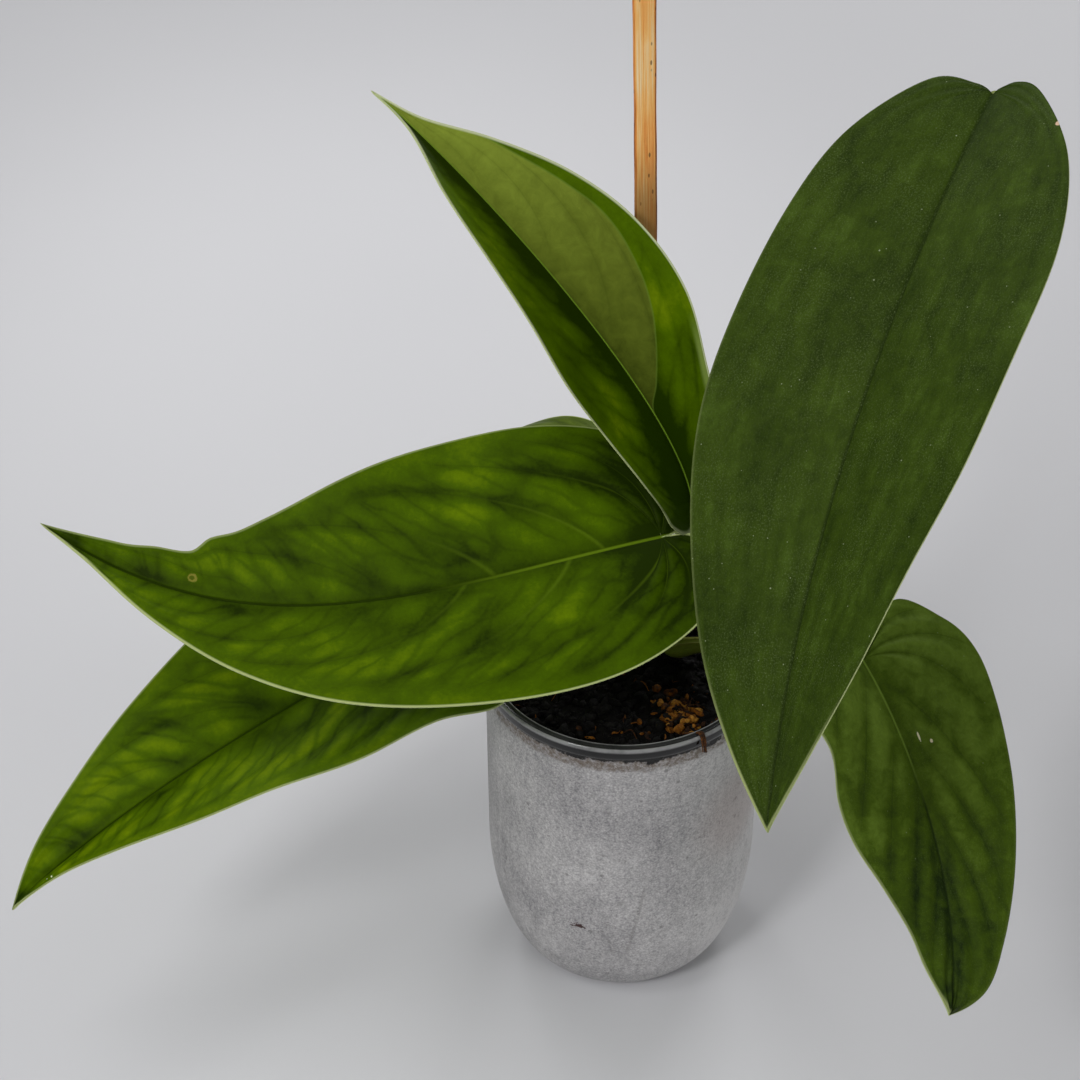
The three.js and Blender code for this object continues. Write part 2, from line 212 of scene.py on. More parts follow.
LEAVES = {
    "a": Leaf(
        midrib=[(98, 13, 311), (68, -41, 288), (40, -86, 232), (32, -135, 181)],
        faces=[(-0.4, -0.4, 0.8), (-0.6, -0.2, 0.75)],
        left=Half(fold=(12, 19), behind=[(-4, 6)], widths=(15, 32.5, 42, 44.5, 43, 36, 27.5, 14.5),
                  veins=(0.08, 0.2, 0.32, 0.42, 0.5, 0.58, 0.66, 0.74, 0.82, 0.9)),
        right=Half(fold=(9, 13), behind=[(-2, 5.5)], widths=(18, 32.5, 40, 44.5, 44.5, 39, 28.5, 14.5),
                   veins=(0.06, 0.18, 0.3, 0.38, 0.47, 0.55, 0.63, 0.71, 0.79, 0.87)),
        arch=0.0007, wave=(0.8, 2.5, 0.4),
        joint=0.63, azimuth=50, via=[(24, 24, 146), (50, 37, 214), (86, 31, 282)], radii=(2.6, 1.7, 1.9),
        sweep=(0.06, 0.15), quilt=0.22, channel=0.5),
    "b": Leaf(
        midrib=[(19, -10, 190), (15, 0, 216), (-38, 28, 272), (-71, 40, 299)],
        faces=[(-0.17, -0.57, 0.8), (0.32, -0.41, 0.85)],
        left=Half(fold=(47, 33), behind=[(-8, 1), (-10, 4), (-5.5, 9)],
                  widths=(11.5, 19, 25.5, 29.5, 27, 23, 16, 3),
                  veins=(0.1, 0.25, 0.36, 0.47, 0.58, 0.69, 0.8, 0.9)),
        right=Half(fold=(46, 29), behind=[(-8, 1), (-10, 4), (-6.5, 10)],
                   widths=(11.5, 18.5, 23, 30, 30, 24, 14, 4),
                   veins=(0.1, 0.22, 0.33, 0.44, 0.56, 0.68, 0.8, 0.9)),
        arch=-0.0001, wave=(0.6, 2, 0),
        joint=1, azimuth=0, via=[(16.5, 6.5, 160), (20.6, 3, 178)], radii=(2.4, 1.7, 1.8),
        sweep=(0.1, 0.2), quilt=0.12, channel=0.35),
    "c": Leaf(
        midrib=[(10, -17, 182), (-55, -35, 180), (-111, -46, 158), (-171, -15, 189)],
        faces=[(0, -0.44, 0.9), (-0.02, -0.44, 0.9)],
        left=Half(fold=(13, 12),
                  behind=[(-4, 0.12), (-6.5, 0.3), (-8.2, 0.9), (-11, 3.2), (-15, 10), (-13, 20)],
                  widths=(33, 41, 43, 40.5, 34, 24, 12, 3),
                  veins=(0.1, 0.22, 0.335, 0.46, 0.57, 0.67, 0.77, 0.87)),
        right=Half(fold=(11, 9), behind=[(-4, 0.12), (-6.5, 0.3), (-7.6, 0.9), (-8.4, 5.6), (-13, 20)],
                   widths=(31.5, 39.5, 43.5, 43, 37, 26, 11, 6),
                   veins=(0.1, 0.2, 0.32, 0.42, 0.54, 0.65, 0.76, 0.87),
                   dents=((138.8, -2.0, 6.5, 2.2), (143, 0.6, 1.5, 4), (154.5, -1.5, 7, 7))),
        arch=0.0008, wave=(1, 2.5, 1),
        joint=0.89, azimuth=255, via=[(11.5, -1, 150), (9.8, -9, 166)], radii=(2.4, 1.7, 1.9),
        sweep=(0.05, 0.16), quilt=0.4, channel=0.5),
    "d": Leaf(
        midrib=[(-34, 1, 149), (-85, -10, 125), (-151, -50, 112), (-187, -67, 80)],
        faces=[(-0.01, -0.35, 0.94), (-0.04, -0.28, 0.96)],
        left=Half(fold=(7, 47), behind=[(-10, 13)], widths=(22, 37, 34.5, 35.5, 32, 28.5, 18, 6.5),
                  veins=(0.1, 0.22, 0.34, 0.45, 0.56, 0.67, 0.78, 0.88)),
        right=Half(fold=(20, 19), behind=[(-10, 13)], widths=(22, 32, 37.5, 39, 35.5, 27.5, 18.5, 10),
                   veins=(0.1, 0.2, 0.31, 0.42, 0.53, 0.64, 0.75, 0.86)),
        arch=0.001, wave=(1, 3, 2),
        joint=0.71, azimuth=185, via=[(-8, 14, 135), (-24, 10, 139)], radii=(2.6, 1.7, 1.9),
        sweep=(0.05, 0.16), quilt=0.4, channel=0.5),
    "e": Leaf(
        midrib=[(70, -30, 144), (85, -57, 131), (98, -89, 94), (88, -125, 95)],
        faces=[(0.29, -0.4, 0.87), (0.28, -0.58, 0.77)],
        left=Half(fold=(14, 7), behind=[(-12.5, 18)], widths=(29, 33, 32.5, 29.5, 25.5, 21, 15.5, 10),
                  veins=(0.12, 0.26, 0.45, 0.56, 0.67, 0.78, 0.89)),
        right=Half(fold=(17, 8), behind=[(-12.5, 18)], widths=(29.5, 31, 28, 30.5, 28.5, 22, 14.5, 9),
                   veins=(0.1, 0.24, 0.42, 0.54, 0.65, 0.76, 0.87)),
        arch=0.0009, wave=(0.8, 2, 0.5),
        joint=0.55, azimuth=-42, via=[(24, 1.5, 121.5), (42, -10, 131), (61, -22, 136)], radii=(3, 1.8, 1.9),
        sweep=(0.2, 0.0), quilt=0.8, channel=0.45),
    "f": Leaf(
        midrib=[(0, 36, 163), (-20, 44, 177), (-50, 54, 168), (-66, 66, 124)],
        faces=[(0.1, 0.3, 0.95), (-0.4, 0.6, 0.7)],
        left=Half(fold=(12, 10), behind=[(-6, 8)], widths=(13, 18, 20, 20.5, 18, 14, 9, 4),
                  veins=(0.1, 0.25, 0.38, 0.5, 0.62, 0.74, 0.86)),
        right=Half(fold=(12, 10), behind=[(-6, 8)], widths=(13, 18, 20, 20.5, 18, 14, 9, 4),
                   veins=(0.1, 0.23, 0.35, 0.47, 0.59, 0.71, 0.83)),
        arch=0.0015, wave=(0.6, 2, 0),
        joint=0.79, azimuth=125, via=[(2, 24, 140), (-4, 32, 148)], radii=(2.2, 1.5, 1.6),
        sweep=(0.06, 0.15), quilt=0.2, channel=0.35),
}
LOOKS = {
    "a": Look(("#1b2a05", "#33450c", "#4e6620"), vein="#22320a", under="#6f8450", mottle=0.5, cells=0.0,
              bands=0.12, lines=0.0, clouds=0.6, streaks=0.4, lightness=0.45, base_shade=0.0, rib_shade=0.12,
              rough=0.6, gloss=0.12, specks=0.7, dust=0.6, rib_width=0.8, rib_pale=-0.3, margin=(0.0, 0.12),
              tip_margin=0.6, marks=((10.8, 25.0, 0.9, 1.0, "#d8b79a"),)),
    # B: painted shade in a wide strip beside the midrib of the half-open blade
    "b": Look(("#1f3100", "#496300", "#7c900a"), vein="#6d8c28", mottle=0.5, cells=0.18, bands=0.15,
              lines=0.0, rib_shade=0.5, rib_reach=15.0, rough=0.4, rib_pale=1.3, rib_width=0.6,
              margin=(1.0, 1.0), margin_colour="#c3cba0", base_margin=0.3,
              zone=((0, 0), (28, 0), (36.6, 6.5), (46.9, 13.7), (55.8, 18.6), (67.3, 22.3), (81.8, 23.6),
                    (95, 20.6), (112, 15), (130, 9), (150, 0))),
    # C: painted shade near its base, where B and A shade it
    "c": Look(("#1c2b00", "#435c00", "#738c02"), base_shade=0.3, shade_reach=0.13, margin=(0.95, 0.45),
              marks=((140.4, -4.6, 1.5, 1.2, "#7d7a2e"), (140.6, -4.5, 0.8, 1.2, "#4d5a10"),
                     (118.0, 26.5, 0.45, 3.0, "#9fb35a"))),
    "d": Look(("#203200", "#496300", "#788f02"), vein="#2b4400", lines=0.0, lightness=0.55, cells=0.34,
              rib_pale=-0.3, margin=(0.75, 0.5), margin_width=0.5,
              marks=((166.5, 3.4, 0.4, 1.0, "#eef2dc"), (168.2, 2.5, 0.3, 1.0, "#eef2dc"),
                     (164.9, 4.3, 0.3, 1.0, "#e3eac8"))),
    # E: base_shade below zero is painted light, lighter towards its base, which A shades
    "e": Look(("#19280b", "#42570f", "#69822b"), vein="#6b8430", under="#6f8450", mottle=0.5, cells=0.08,
              bands=0.32, lines=0.0, clouds=0.6, rough=0.55, specks=0.3, dust=0.3, lightness=0.4,
              base_shade=-0.4, shade_reach=0.9, rib_pale=0.35, rib_width=0.5, margin=(0.05, 0.5), gloss=0.12,
              marks=((27.6, 5.0, 0.33, 5.0, "#e9e2bf"), (29.9, 8.0, 0.5, 1.3, "#ddd2ae"))),
    "f": Look(("#3a4a14", "#586a22", "#7d8d46"), vein="#7f9a4a", mottle=0.4, rough=0.42),
}


def srgb(code):
    """A colour written as #rrggbb, as the linear colour that a shader takes."""
    parts = [int(code[i:i + 2], 16) / 255 for i in (1, 3, 5)]
    linear = [p / 12.92 if p <= 0.04045 else ((p + 0.055) / 1.055) ** 2.4 for p in parts]
    return (*linear, 1.0)


class Number:
    """A number that a material works out. Arithmetic with it adds Math nodes."""

    def __init__(self, graph, socket):
        self.graph = graph
        self.socket = socket

    def __add__(self, other):
        return self.graph.math("ADD", self, other)

    def __sub__(self, other):
        return self.graph.math("SUBTRACT", self, other)

    def __mul__(self, other):
        return self.graph.math("MULTIPLY", self, other)

    def __truediv__(self, other):
        return self * (1 / other)

    def __abs__(self):
        return self.graph.math("ABSOLUTE", self)

    __radd__ = __add__

    def eased(self, start, end, low=0.0, high=1.0):
        """low where the number is at start, high where it is at end, with a soft step between."""
        inputs = {"Value": self, "From Min": start, "From Max": end, "To Min": low, "To Max": high}
        return self.graph.number("MapRange", inputs, "Result", interpolation_type="SMOOTHSTEP")


class Graph:
    """A material's nodes, under short names. A colour is written as #rrggbb."""

    def __init__(self, name, **sockets):
        self.material = bpy.data.materials.new(name)
        self.material.use_nodes = True
        self.tree = self.material.node_tree
        self.shader = self.tree.nodes["Principled BSDF"]
        for socket, value in sockets.items():
            self.feed(self.shader.inputs[socket.replace("_", " ")], value)

    def feed(self, socket, value):
        if isinstance(value, Number):
            value = value.socket
        if isinstance(value, bpy.types.NodeSocket):
            self.tree.links.new(value, socket)
        else:
            socket.default_value = srgb(value) if isinstance(value, str) else value

    def node(self, kind, inputs, **settings):
        made = self.tree.nodes.new("ShaderNode" + kind)
        for key, value in settings.items():
            setattr(made, key, value)
        for socket, value in inputs.items():
            self.feed(made.inputs[socket], value)
        return made

    def number(self, kind, inputs, output=0, **settings):
        return Number(self, self.node(kind, inputs, **settings).outputs[output])

    def math(self, operation, a, b=0.0):
        return self.number("Math", {0: a, 1: b}, operation=operation)

    def larger(self, first, *others):
        for other in others:
            first = self.math("MAXIMUM", first, other)
        return first

    def parts(self, vector):
        return [Number(self, socket) for socket in self.node("SeparateXYZ", {0: vector}).outputs]

    def joined(self, x, y, z=0.0):
        return self.node("CombineXYZ", {0: x, 1: y, 2: z}).outputs[0]

    def away(self, vector, place=(0, 0, 0)):
        """How far a vector's point is from a place."""
        return self.number("VectorMath", {0: vector, 1: place}, "Value", operation="DISTANCE")

    def attribute(self, name):
        return self.node("Attribute", {}, attribute_name=name).outputs["Vector"]

    def place(self):
        """Where a point is on the object, in metres."""
        return self.node("TexCoord", {}).outputs["Object"]

    def noise(self, vector, scale, detail=3.0, rough=0.55, distortion=0.0):
        inputs = {"Vector": vector, "Scale": scale, "Detail": detail, "Roughness": rough,
                  "Distortion": distortion}
        return self.number("TexNoise", inputs)

    def cells(self, vector, scale, feature="F1"):
        return self.number("TexVoronoi", {"Vector": vector, "Scale": scale}, "Distance", feature=feature)

    def mix(self, share, a, b):
        return self.node("Mix", {0: share, 6: a, 7: b}, data_type="RGBA").outputs[2]

    def ramp(self, value, *stops):
        made = self.node("ValToRGB", {0: value})
        elements = made.color_ramp.elements
        while len(elements) < len(stops):
            elements.new(0.5)
        for element, (position, colour) in zip(elements, stops):
            element.position = position
            element.color = srgb(colour)
        return made.outputs[0]

    def dots(self, vector, scale, size, kept):
        """Small round dots: in each cell of that scale, shown in a share of the cells only."""
        cell = self.node("TexVoronoi", {"Vector": vector, "Scale": scale}).outputs
        chance = self.math("LESS_THAN", self.parts(cell["Color"])[0], kept)
        return Number(self, cell["Distance"]).eased(size, size * 0.6) * chance

    def bump(self, height, distance, strength):
        made = self.node("Bump", {"Height": height, "Distance": distance, "Strength": strength})
        self.feed(self.shader.inputs["Normal"], made.outputs[0])

    def colour(self, value):
        self.feed(self.shader.inputs["Base Color"], value)

    def rough(self, value):
        self.feed(self.shader.inputs["Roughness"], value)


def mesh_piece(name, points, faces, materials, face_materials=None, attributes=None):
    """A smooth-shaded object from points in millimetres."""
    mesh = bpy.data.meshes.new(name)
    places = [tuple(p) for p in np.asarray(points) * MM]
    mesh.from_pydata(places, [], [tuple(int(i) for i in f) for f in faces])
    for key, values in (attributes or {}).items():
        layer = mesh.attributes.new(key, "FLOAT_VECTOR", "POINT")
        layer.data.foreach_set("vector", np.asarray(values, np.float32).ravel())
    for material in materials:
        mesh.materials.append(material)
    if face_materials is not None:
        mesh.polygons.foreach_set("material_index", np.asarray(face_materials, np.int32))
    mesh.polygons.foreach_set("use_smooth", np.ones(len(mesh.polygons), bool))
    mesh.validate()
    mesh.update()
    piece = bpy.data.objects.new(name, mesh)
    bpy.context.scene.collection.objects.link(piece)
    return piece


def settle(piece, slot, *nodes):
    """The piece rides on the plant's one body and stands for the CAD nodes, which it hides. slot is not used.
    """
    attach(piece, "root")
    if nodes:
        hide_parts(*nodes)
    return piece


def unit(vectors):
    """The same directions with a length of 1."""
    return vectors / np.maximum(np.linalg.norm(vectors, axis=-1, keepdims=True), 1e-9)


def spaced(points, count):
    """count + 1 points at even distances along a dense line of points."""
    steps = np.linalg.norm(np.diff(points, axis=0), axis=1)
    arc = np.concatenate([[0], np.cumsum(steps)])
    at = np.linspace(0, arc[-1], count + 1)
    return np.stack([np.interp(at, arc, points[:, i]) for i in range(points.shape[1])], 1)


def eased(value, start, end):
    """0 where value is at start, 1 where it is at end, with a soft step between."""
    share = np.clip((value - start) / (end - start), 0, 1)
    return share * share * (3 - 2 * share)


def half_of(leaf, side):
    return leaf.left if side > 0 else leaf.right


def cubic(p1, p2, v1, v2, t):
    """Points on the cubic curve from p1 to p2 that starts with speed v1 and ends with speed v2."""
    return (2 * p1 - 2 * p2 + v1 + v2) * t ** 3 + (3 * p2 - 3 * p1 - 2 * v1 - v2) * t ** 2 + v1 * t + p1


class Blade:
    """A leaf's middle surface as in the CAD: along and across the flat leaf to a place in space."""

    def __init__(self, leaf):
        self.leaf = leaf
        t = np.linspace(0, 1, 801)[:, None]
        a, b, c, d = np.array(leaf.midrib, float)
        self.curve = (1 - t) ** 3 * a + 3 * (1 - t) ** 2 * t * b + 3 * (1 - t) * t * t * c + t ** 3 * d
        self.tangents = unit(3 * (1 - t) ** 2 * (b - a) + 6 * (1 - t) * t * (c - b) + 3 * t * t * (d - c))
        self.arc = np.concatenate([[0], np.cumsum(np.linalg.norm(np.diff(self.curve, axis=0), axis=1))])
        self.length = self.arc[-1]
        self.widest = max(leaf.left.widths)

    def along_midrib(self, distance, table):
        return np.stack([np.interp(distance, self.arc, table[:, i]) for i in range(3)], -1)

    def place(self, along, across, side):
        on_rib = np.clip(along, 0, self.length)
        share = on_rib / self.length
        tangent = unit(self.along_midrib(on_rib, self.tangents))
        centre = self.along_midrib(on_rib, self.curve) + tangent * (along - on_rib)[..., None]
        first, last = np.array(self.leaf.faces, float)
        normal = first + (last - first) * share[..., None]
        normal = unit(normal - (normal * tangent).sum(-1, keepdims=True) * tangent)
        out = np.cross(normal, tangent) * side
        fold_base, fold_tip = half_of(self.leaf, side).fold
        fold = np.radians(fold_base + (fold_tip - fold_base) * share)
        height, count, start = self.leaf.wave
        ripple = height * (across / self.widest) ** 2 * np.sin(2 * np.pi * count * share + start + side)
        lift = across * np.sin(fold) - self.leaf.arch * across ** 2 + ripple
        return centre + out * (across * np.cos(fold))[..., None] + normal * lift[..., None]

    def outline(self, side, count):
        """The margin of one half, at even steps from the stalk's end to the tip."""
        half = half_of(self.leaf, side)
        base, *widths = half.widths
        inner = [(station * self.length, width) for station, width in zip(STATIONS, widths)]
        knots = np.array([(0, 0), *half.behind, (0, base), *inner, (self.length, 0)], float)
        padded = np.concatenate([knots[:1], knots, knots[-1:]])
        t = np.linspace(0, 1, 60, endpoint=False)[:, None]
        line = [cubic(p1, p2, (p2 - p0) / 2, (p3 - p1) / 2, t)
                for p0, p1, p2, p3 in zip(padded, padded[1:], padded[2:], padded[3:])]
        edge = spaced(np.concatenate([*line, knots[-1:]]), count)
        for at, depth, before, after in half.dents:
            reach = np.where(edge[:, 0] < at, before, after)
            edge[:, 1] -= depth * np.exp(-((edge[:, 0] - at) / reach) ** 2)
        edge[:, 1] = np.maximum(edge[:, 1], 0)
        return edge


def blade_grid(blade):
    """Ribs from the midrib to both margins. Gives each point's place on the flat leaf, the faces, the rib,
    step and side of every face corner, and the margin's loop."""
    edges = {side: blade.outline(side, RIBS) for side in (1, -1)}
    middle = (edges[1] + edges[-1]) / 2
    feet = np.maximum(0, middle[:, 0] - VEIN_LEAN * middle[:, 1])
    feet[-1] = blade.length
    steps = np.linspace(0, 1, ACROSS + 1)
    shares = 0.7 * steps ** 1.8 + 0.3 * steps
    found, rows, faces, corners, margins = {}, [], [], [], {}
    for side in (1, -1):
        lookup = np.zeros((RIBS + 1, ACROSS + 1), int)
        for k in range(RIBS + 1):
            for j, share in enumerate(shares):
                along = feet[k] + (edges[side][k, 0] - feet[k]) * share ** 1.35
                across = edges[side][k, 1] * share
                key = (round(along, 3), round(across, 3), side if across > 5e-4 else 0)
                if key not in found:
                    found[key] = len(rows)
                    rows.append((along, across, side, edges[side][k, 1] * (1 - share)))
                lookup[k, j] = found[key]
        for k in range(RIBS):
            for j in range(ACROSS):
                quad = [(k, j), (k, j + 1), (k + 1, j + 1), (k + 1, j)]
                quad = quad[::-1] if side > 0 else quad
                kept = [c for i, c in enumerate(quad) if lookup[c] != lookup[quad[i - 1]]]
                if len({lookup[c] for c in kept}) == len(kept) > 2:
                    faces.append([lookup[c] for c in kept])
                    corners.append([(c[0] / RIBS, shares[c[1]], side) for c in kept])
        margins[side] = list(lookup[:, -1])
    border = margins[1] + margins[-1][1:-1][::-1]
    return np.array(rows), faces, corners, np.array(border)


def vein_phase(leaf, rib, share, side):
    """Whole numbers lie on the side veins, which leave the midrib at the ribs listed and sweep to the tip."""
    sweep, curl = leaf.sweep
    start = rib - sweep * share - curl * share ** 3
    places = half_of(leaf, side).veins
    shares = [places[0] - 1, *places, places[-1] + 0.3]
    return np.interp(start, shares, [-9, *range(len(places)), len(places) + 2])


def sheet_normals(points, faces):
    """The way that the sheet faces at each of its points."""
    total = np.zeros_like(points)
    for corners in ([0, 1, 2], [0, 2, 3]):
        rings = np.array([[f[c] for c in corners] for f in faces if len(f) > corners[2]])
        p, q, r = (points[rings[:, i]] for i in range(3))
        face = np.cross(q - p, r - p)
        for i in range(3):
            np.add.at(total, rings[:, i], face)
    return unit(total)


def leaf_relief(leaf, along, across, edge, reach, faces, veins):
    """How far the upper and the lower skin stand off the blade's middle surface."""
    quilt = np.zeros(len(along))
    for face, places in zip(faces, veins):
        for p, (phase, share, _) in zip(face, places):
            inside = eased(share, 0.02, 0.3) * eased(share, 1.0, 0.75)
            quilt[p] = leaf.quilt * (0.5 - 0.5 * math.cos(2 * math.pi * phase)) * inside
    wide = 1.5 - 0.9 * reach
    channel = leaf.channel * (1 - 0.6 * reach) * np.exp(-(across / (0.55 * wide)) ** 2)
    rib_height = (1.15 - 0.95 * reach) * np.exp(-(across / wide) ** 2) * (along > -0.01)
    thin = BLADE / 2 * (0.6 + 0.4 * eased(edge, 0.0, 2.5))
    return (thin + quilt - channel)[:, None], (thin - quilt + rib_height)[:, None]


def joined_skins(upper, lower, outward, border, faces, veins, reach):
    """Both skins and a rim between them: points, faces, the faces' vein data, and each face's material."""
    count = len(upper)
    rim = (upper[border] + lower[border]) / 2 + outward * RIM
    skin_faces = [*faces, *[[c + count for c in f[::-1]] for f in faces]]
    skin_veins = [*veins, *[v[::-1] for v in veins]]
    kinds = [0] * len(faces) + [1] * len(faces)
    for i, here in enumerate(border):
        nxt = (i + 1) % len(border)
        there = border[nxt]
        skin_faces.append([here, 2 * count + i, 2 * count + nxt, there])
        skin_faces.append([here + count, there + count, 2 * count + nxt, 2 * count + i])
        skin_veins += [[(0.5, 1.0, reach[here])] * 4] * 2
        kinds += [0, 1]
    return np.concatenate([upper, lower, rim]), skin_faces, skin_veins, kinds


def leaf_piece(letter):
    """A blade with its channelled midrib, raised quilting, ribbed underside and rounded pale margin."""
    leaf = LEAVES[letter]
    blade = Blade(leaf)
    rows, faces, corners, border = blade_grid(blade)
    along, across, side, edge = rows.T
    points = np.zeros((len(rows), 3))
    for half in (1, -1):
        chosen = side == half
        points[chosen] = blade.place(along[chosen], across[chosen], half)
    normals = sheet_normals(points, faces)
    reach = np.clip(along / blade.length, 0, 1)
    veins = [[(vein_phase(leaf, *corner), corner[1], reach[p]) for p, corner in zip(face, places)]
             for face, places in zip(faces, corners)]
    above, below = leaf_relief(leaf, along, across, edge, reach, faces, veins)
    outward = unit(np.cross(points[np.roll(border, -1)] - points[np.roll(border, 1)], normals[border]))
    skins = points + normals * above, points - normals * below
    skin_points, skin_faces, skin_veins, kinds = joined_skins(*skins, outward, border, faces, veins, reach)
    lies = np.stack([along, across * side, edge], 1)
    lies = {"blade": np.concatenate([lies, lies, lies[border]])}
    materials = [leaf_upper(letter, LOOKS[letter]), leaf_under(letter, LOOKS[letter])]
    piece = mesh_piece(f"blade_{letter}", skin_points, skin_faces, materials, kinds, lies)
    layer = piece.data.attributes.new("vein", "FLOAT_VECTOR", "CORNER")
    layer.data.foreach_set("vector", np.array([v for face in skin_veins for v in face], np.float32).ravel())
    slot = "leaf_dark" if letter in "aef" else "leaf_bright"
    return settle(piece, slot, f"leaf_{letter}")


def vein_pattern(g):
    """What both faces of a leaf share: its coordinates, and how far a point is from the nearest side vein."""
    along, across, edge = g.parts(g.attribute("blade"))
    phase, share, reach = g.parts(g.attribute("vein"))
    other = g.math("LESS_THAN", across, 0.0)
    return SimpleNamespace(
        along=along, across=across, edge=edge, share=share, reach=reach, other=other, width=abs(across),
        first=abs(g.math("FRACT", phase + 0.5) - 0.5),
        flat=g.joined(along, across, other * 40.0),
        with_veins=g.joined(phase * 2.2, share * 2.6, other * 9.0))


def leaf_upper(letter, look):
    """A leaf's glossy upper skin, with its pale margin."""
    g = Graph(f"leaf_{letter}_upper", Specular_IOR_Level=look.gloss, Specular_Tint="#dfe8b0")
    v = vein_pattern(g)
    dark, middle, lit = look.greens
    fine = g.noise(v.flat, 0.9, 3.0, 0.7)
    clouds = g.noise(v.flat, 0.22, 5.0, 0.7, 0.5)
    colour = g.ramp(leaf_glow(g, v, look, clouds, fine), (0.08, dark), (0.5, middle), (0.92, lit))
    if look.zone:
        colour = painted_sheen_zone(g, v, look, clouds, colour)
    colour = leaf_lines(g, v, look, colour)
    if look.specks:
        colour = leaf_dust(g, v, look, colour)
    for mark in look.marks:
        colour = leaf_mark(g, v, mark, fine, colour)
    left, right = look.margin
    pale = v.other * (right - left) + left + v.reach.eased(0.8, 0.95, 0.0, look.tip_margin)
    pale = pale * v.along.eased(0.0, 22.0, look.base_margin, 1.0)
    edge = v.edge.eased(look.margin_width, look.margin_width * 0.3) * pale
    g.colour(g.mix(edge, colour, look.margin_colour))
    g.rough(fine.eased(0.3, 0.7, look.rough - 0.05, look.rough + 0.07))
    grooves = v.first.eased(0.05, 0.0) * v.share.eased(1.0, 0.85) * -look.bands
    g.bump(grooves + g.noise(v.flat, 0.16, 2.0) + fine * 0.12, 0.0003, 0.5)
    return g.material


def leaf_glow(g, v, look, clouds, fine):
    """How light the green is: soft cells along the side veins, clouds, and painted shade along the side
    veins, at the rib and at the base, where it is painted light instead if base_shade is below zero.
    """
    large = g.noise(v.flat, 0.035, 3.0, 0.55, 0.4)
    warp = g.noise(v.flat, 0.07, 2.0) - 0.5
    sweep = v.width * (v.width * CELL_CURL + CELL_SLANT)
    between = g.joined((v.along - sweep) / CELL_WIDTH + warp * 0.9, v.width / CELL_LENGTH + warp * -0.6,
                       v.other * 9.0)
    # Cells: a net of small veins, with painted light through the blade inside the cells and painted shade in
    # the lines between them.
    middles = g.cells(between, 1.0, "SMOOTH_F1")
    meshes = g.cells(between, 1.0, "DISTANCE_TO_EDGE")
    inner = v.share.eased(0.0, 0.2) * v.share.eased(1.0, 0.72)
    # Painted shade in the grooves along the side veins.
    bands = (v.first + warp * 0.1).eased(0.3, 0.0) * inner * v.reach.eased(0.92, 0.65)
    near_edge = abs(v.share - 0.84 + warp * 0.06).eased(0.09, 0.0)
    streaks = g.noise(g.joined(v.share * 9.0, v.along * 0.022, v.other * 9.0), 1.0, 4.0, 0.6)
    return (
        (large - 0.5) * (1.4 * look.mottle) + look.lightness
        + (clouds - 0.5) * (1.2 * look.clouds)
        + (fine - 0.5) * 0.2
        + (streaks - 0.5) * (1.5 * look.streaks)
        + middles.eased(0.75, 0.05, -0.5, 0.5) * inner * look.cells
        + meshes.eased(0.14, 0.0) * inner * (-0.4 * look.cells)
        + bands * (-0.55 * look.bands)
        + near_edge * (-0.2 * look.bands)
        # Painted shade at the base and beside the midrib; where base_shade is below zero, painted light at
        # the base.
        + v.reach.eased(look.shade_reach, 0.0, 0.0, -look.base_shade)
        + v.width.eased(look.rib_reach, 0.3, 0.0, -look.rib_shade)
    )


def zone_depth(g, v, outline):
    """How far inside a line drawn on the leaf a point lies. outline gives distance along, then across."""
    length = max(along for along, _ in outline)
    share = g.number("Math", {0: v.along, 1: length}, operation="DIVIDE", use_clamp=True)
    curve = g.node("FloatCurve", {"Value": share})
    line = curve.mapping.curves[0]
    while len(line.points) < len(outline):
        line.points.new(0.5, 0.5)
    for point, (along, across) in zip(line.points, outline):
        point.location = (along / length, across / 100.0)
    curve.mapping.update()
    return Number(g, curve.outputs[0]) * 100.0 - v.width


def painted_sheen_zone(g, v, look, clouds, colour):
    """Painted sheen: an olive patch on the half-open leaf between the midrib and a curved line, standing for
    a soft light's reflection.
    """
    depth = zone_depth(g, v, look.zone)
    # Painted shade in the folds along the side veins; the painted sheen grows brighter towards the tip.
    fold_shade = v.first.eased(0.22, 0.0) * v.share.eased(0.05, 0.3) * -0.045
    value = clouds * 0.35 + v.reach * 0.62 + v.width.eased(8.0, 0.0, 0.0, -0.1) + fold_shade + 0.08
    sheen = g.ramp(value, (0.3, "#3b4610"), (0.55, "#5f6c20"), (0.85, "#839433"))
    colour = g.mix(depth.eased(-0.3, 0.4) * v.other, colour, sheen)
    # A paler line along the edge of the painted sheen.
    colour = g.mix(abs(depth).eased(0.5, 0.1) * v.other * 0.3, colour, "#6f8a34")
    rolled = v.edge.eased(4.5, 2.0) * v.along.eased(22.0, 30.0) * v.along.eased(50.0, 38.0)
    return g.mix(rolled * v.other * 0.75, colour, "#7d9146")


def leaf_lines(g, v, look, colour):
    """The midrib, pale at its foot and dark beyond, and the side veins."""
    rib_line = v.width.eased(look.rib_width, look.rib_width * 0.3)
    near, far = look.rib_pale - 0.15, look.rib_pale + 0.1
    rib_pale = rib_line * v.reach.eased(far, near)
    rib_dark = rib_line * v.reach.eased(near, far, 0.0, 0.8)
    near_base = v.share.eased(0.75, 0.1) * v.reach.eased(0.5, 0.2)
    vein_pale = v.first.eased(0.045, 0.0) * near_base * look.lines
    inner = v.share.eased(0.1, 0.3) * v.share.eased(0.95, 0.75) * v.reach.eased(0.88, 0.7)
    vein_dark = v.first.eased(0.035, 0.008) * inner * (0.6 * look.bands)
    colour = g.mix(g.larger(rib_dark, vein_dark), colour, look.greens[0])
    return g.mix(g.larger(rib_pale, vein_pale), colour, look.vein)


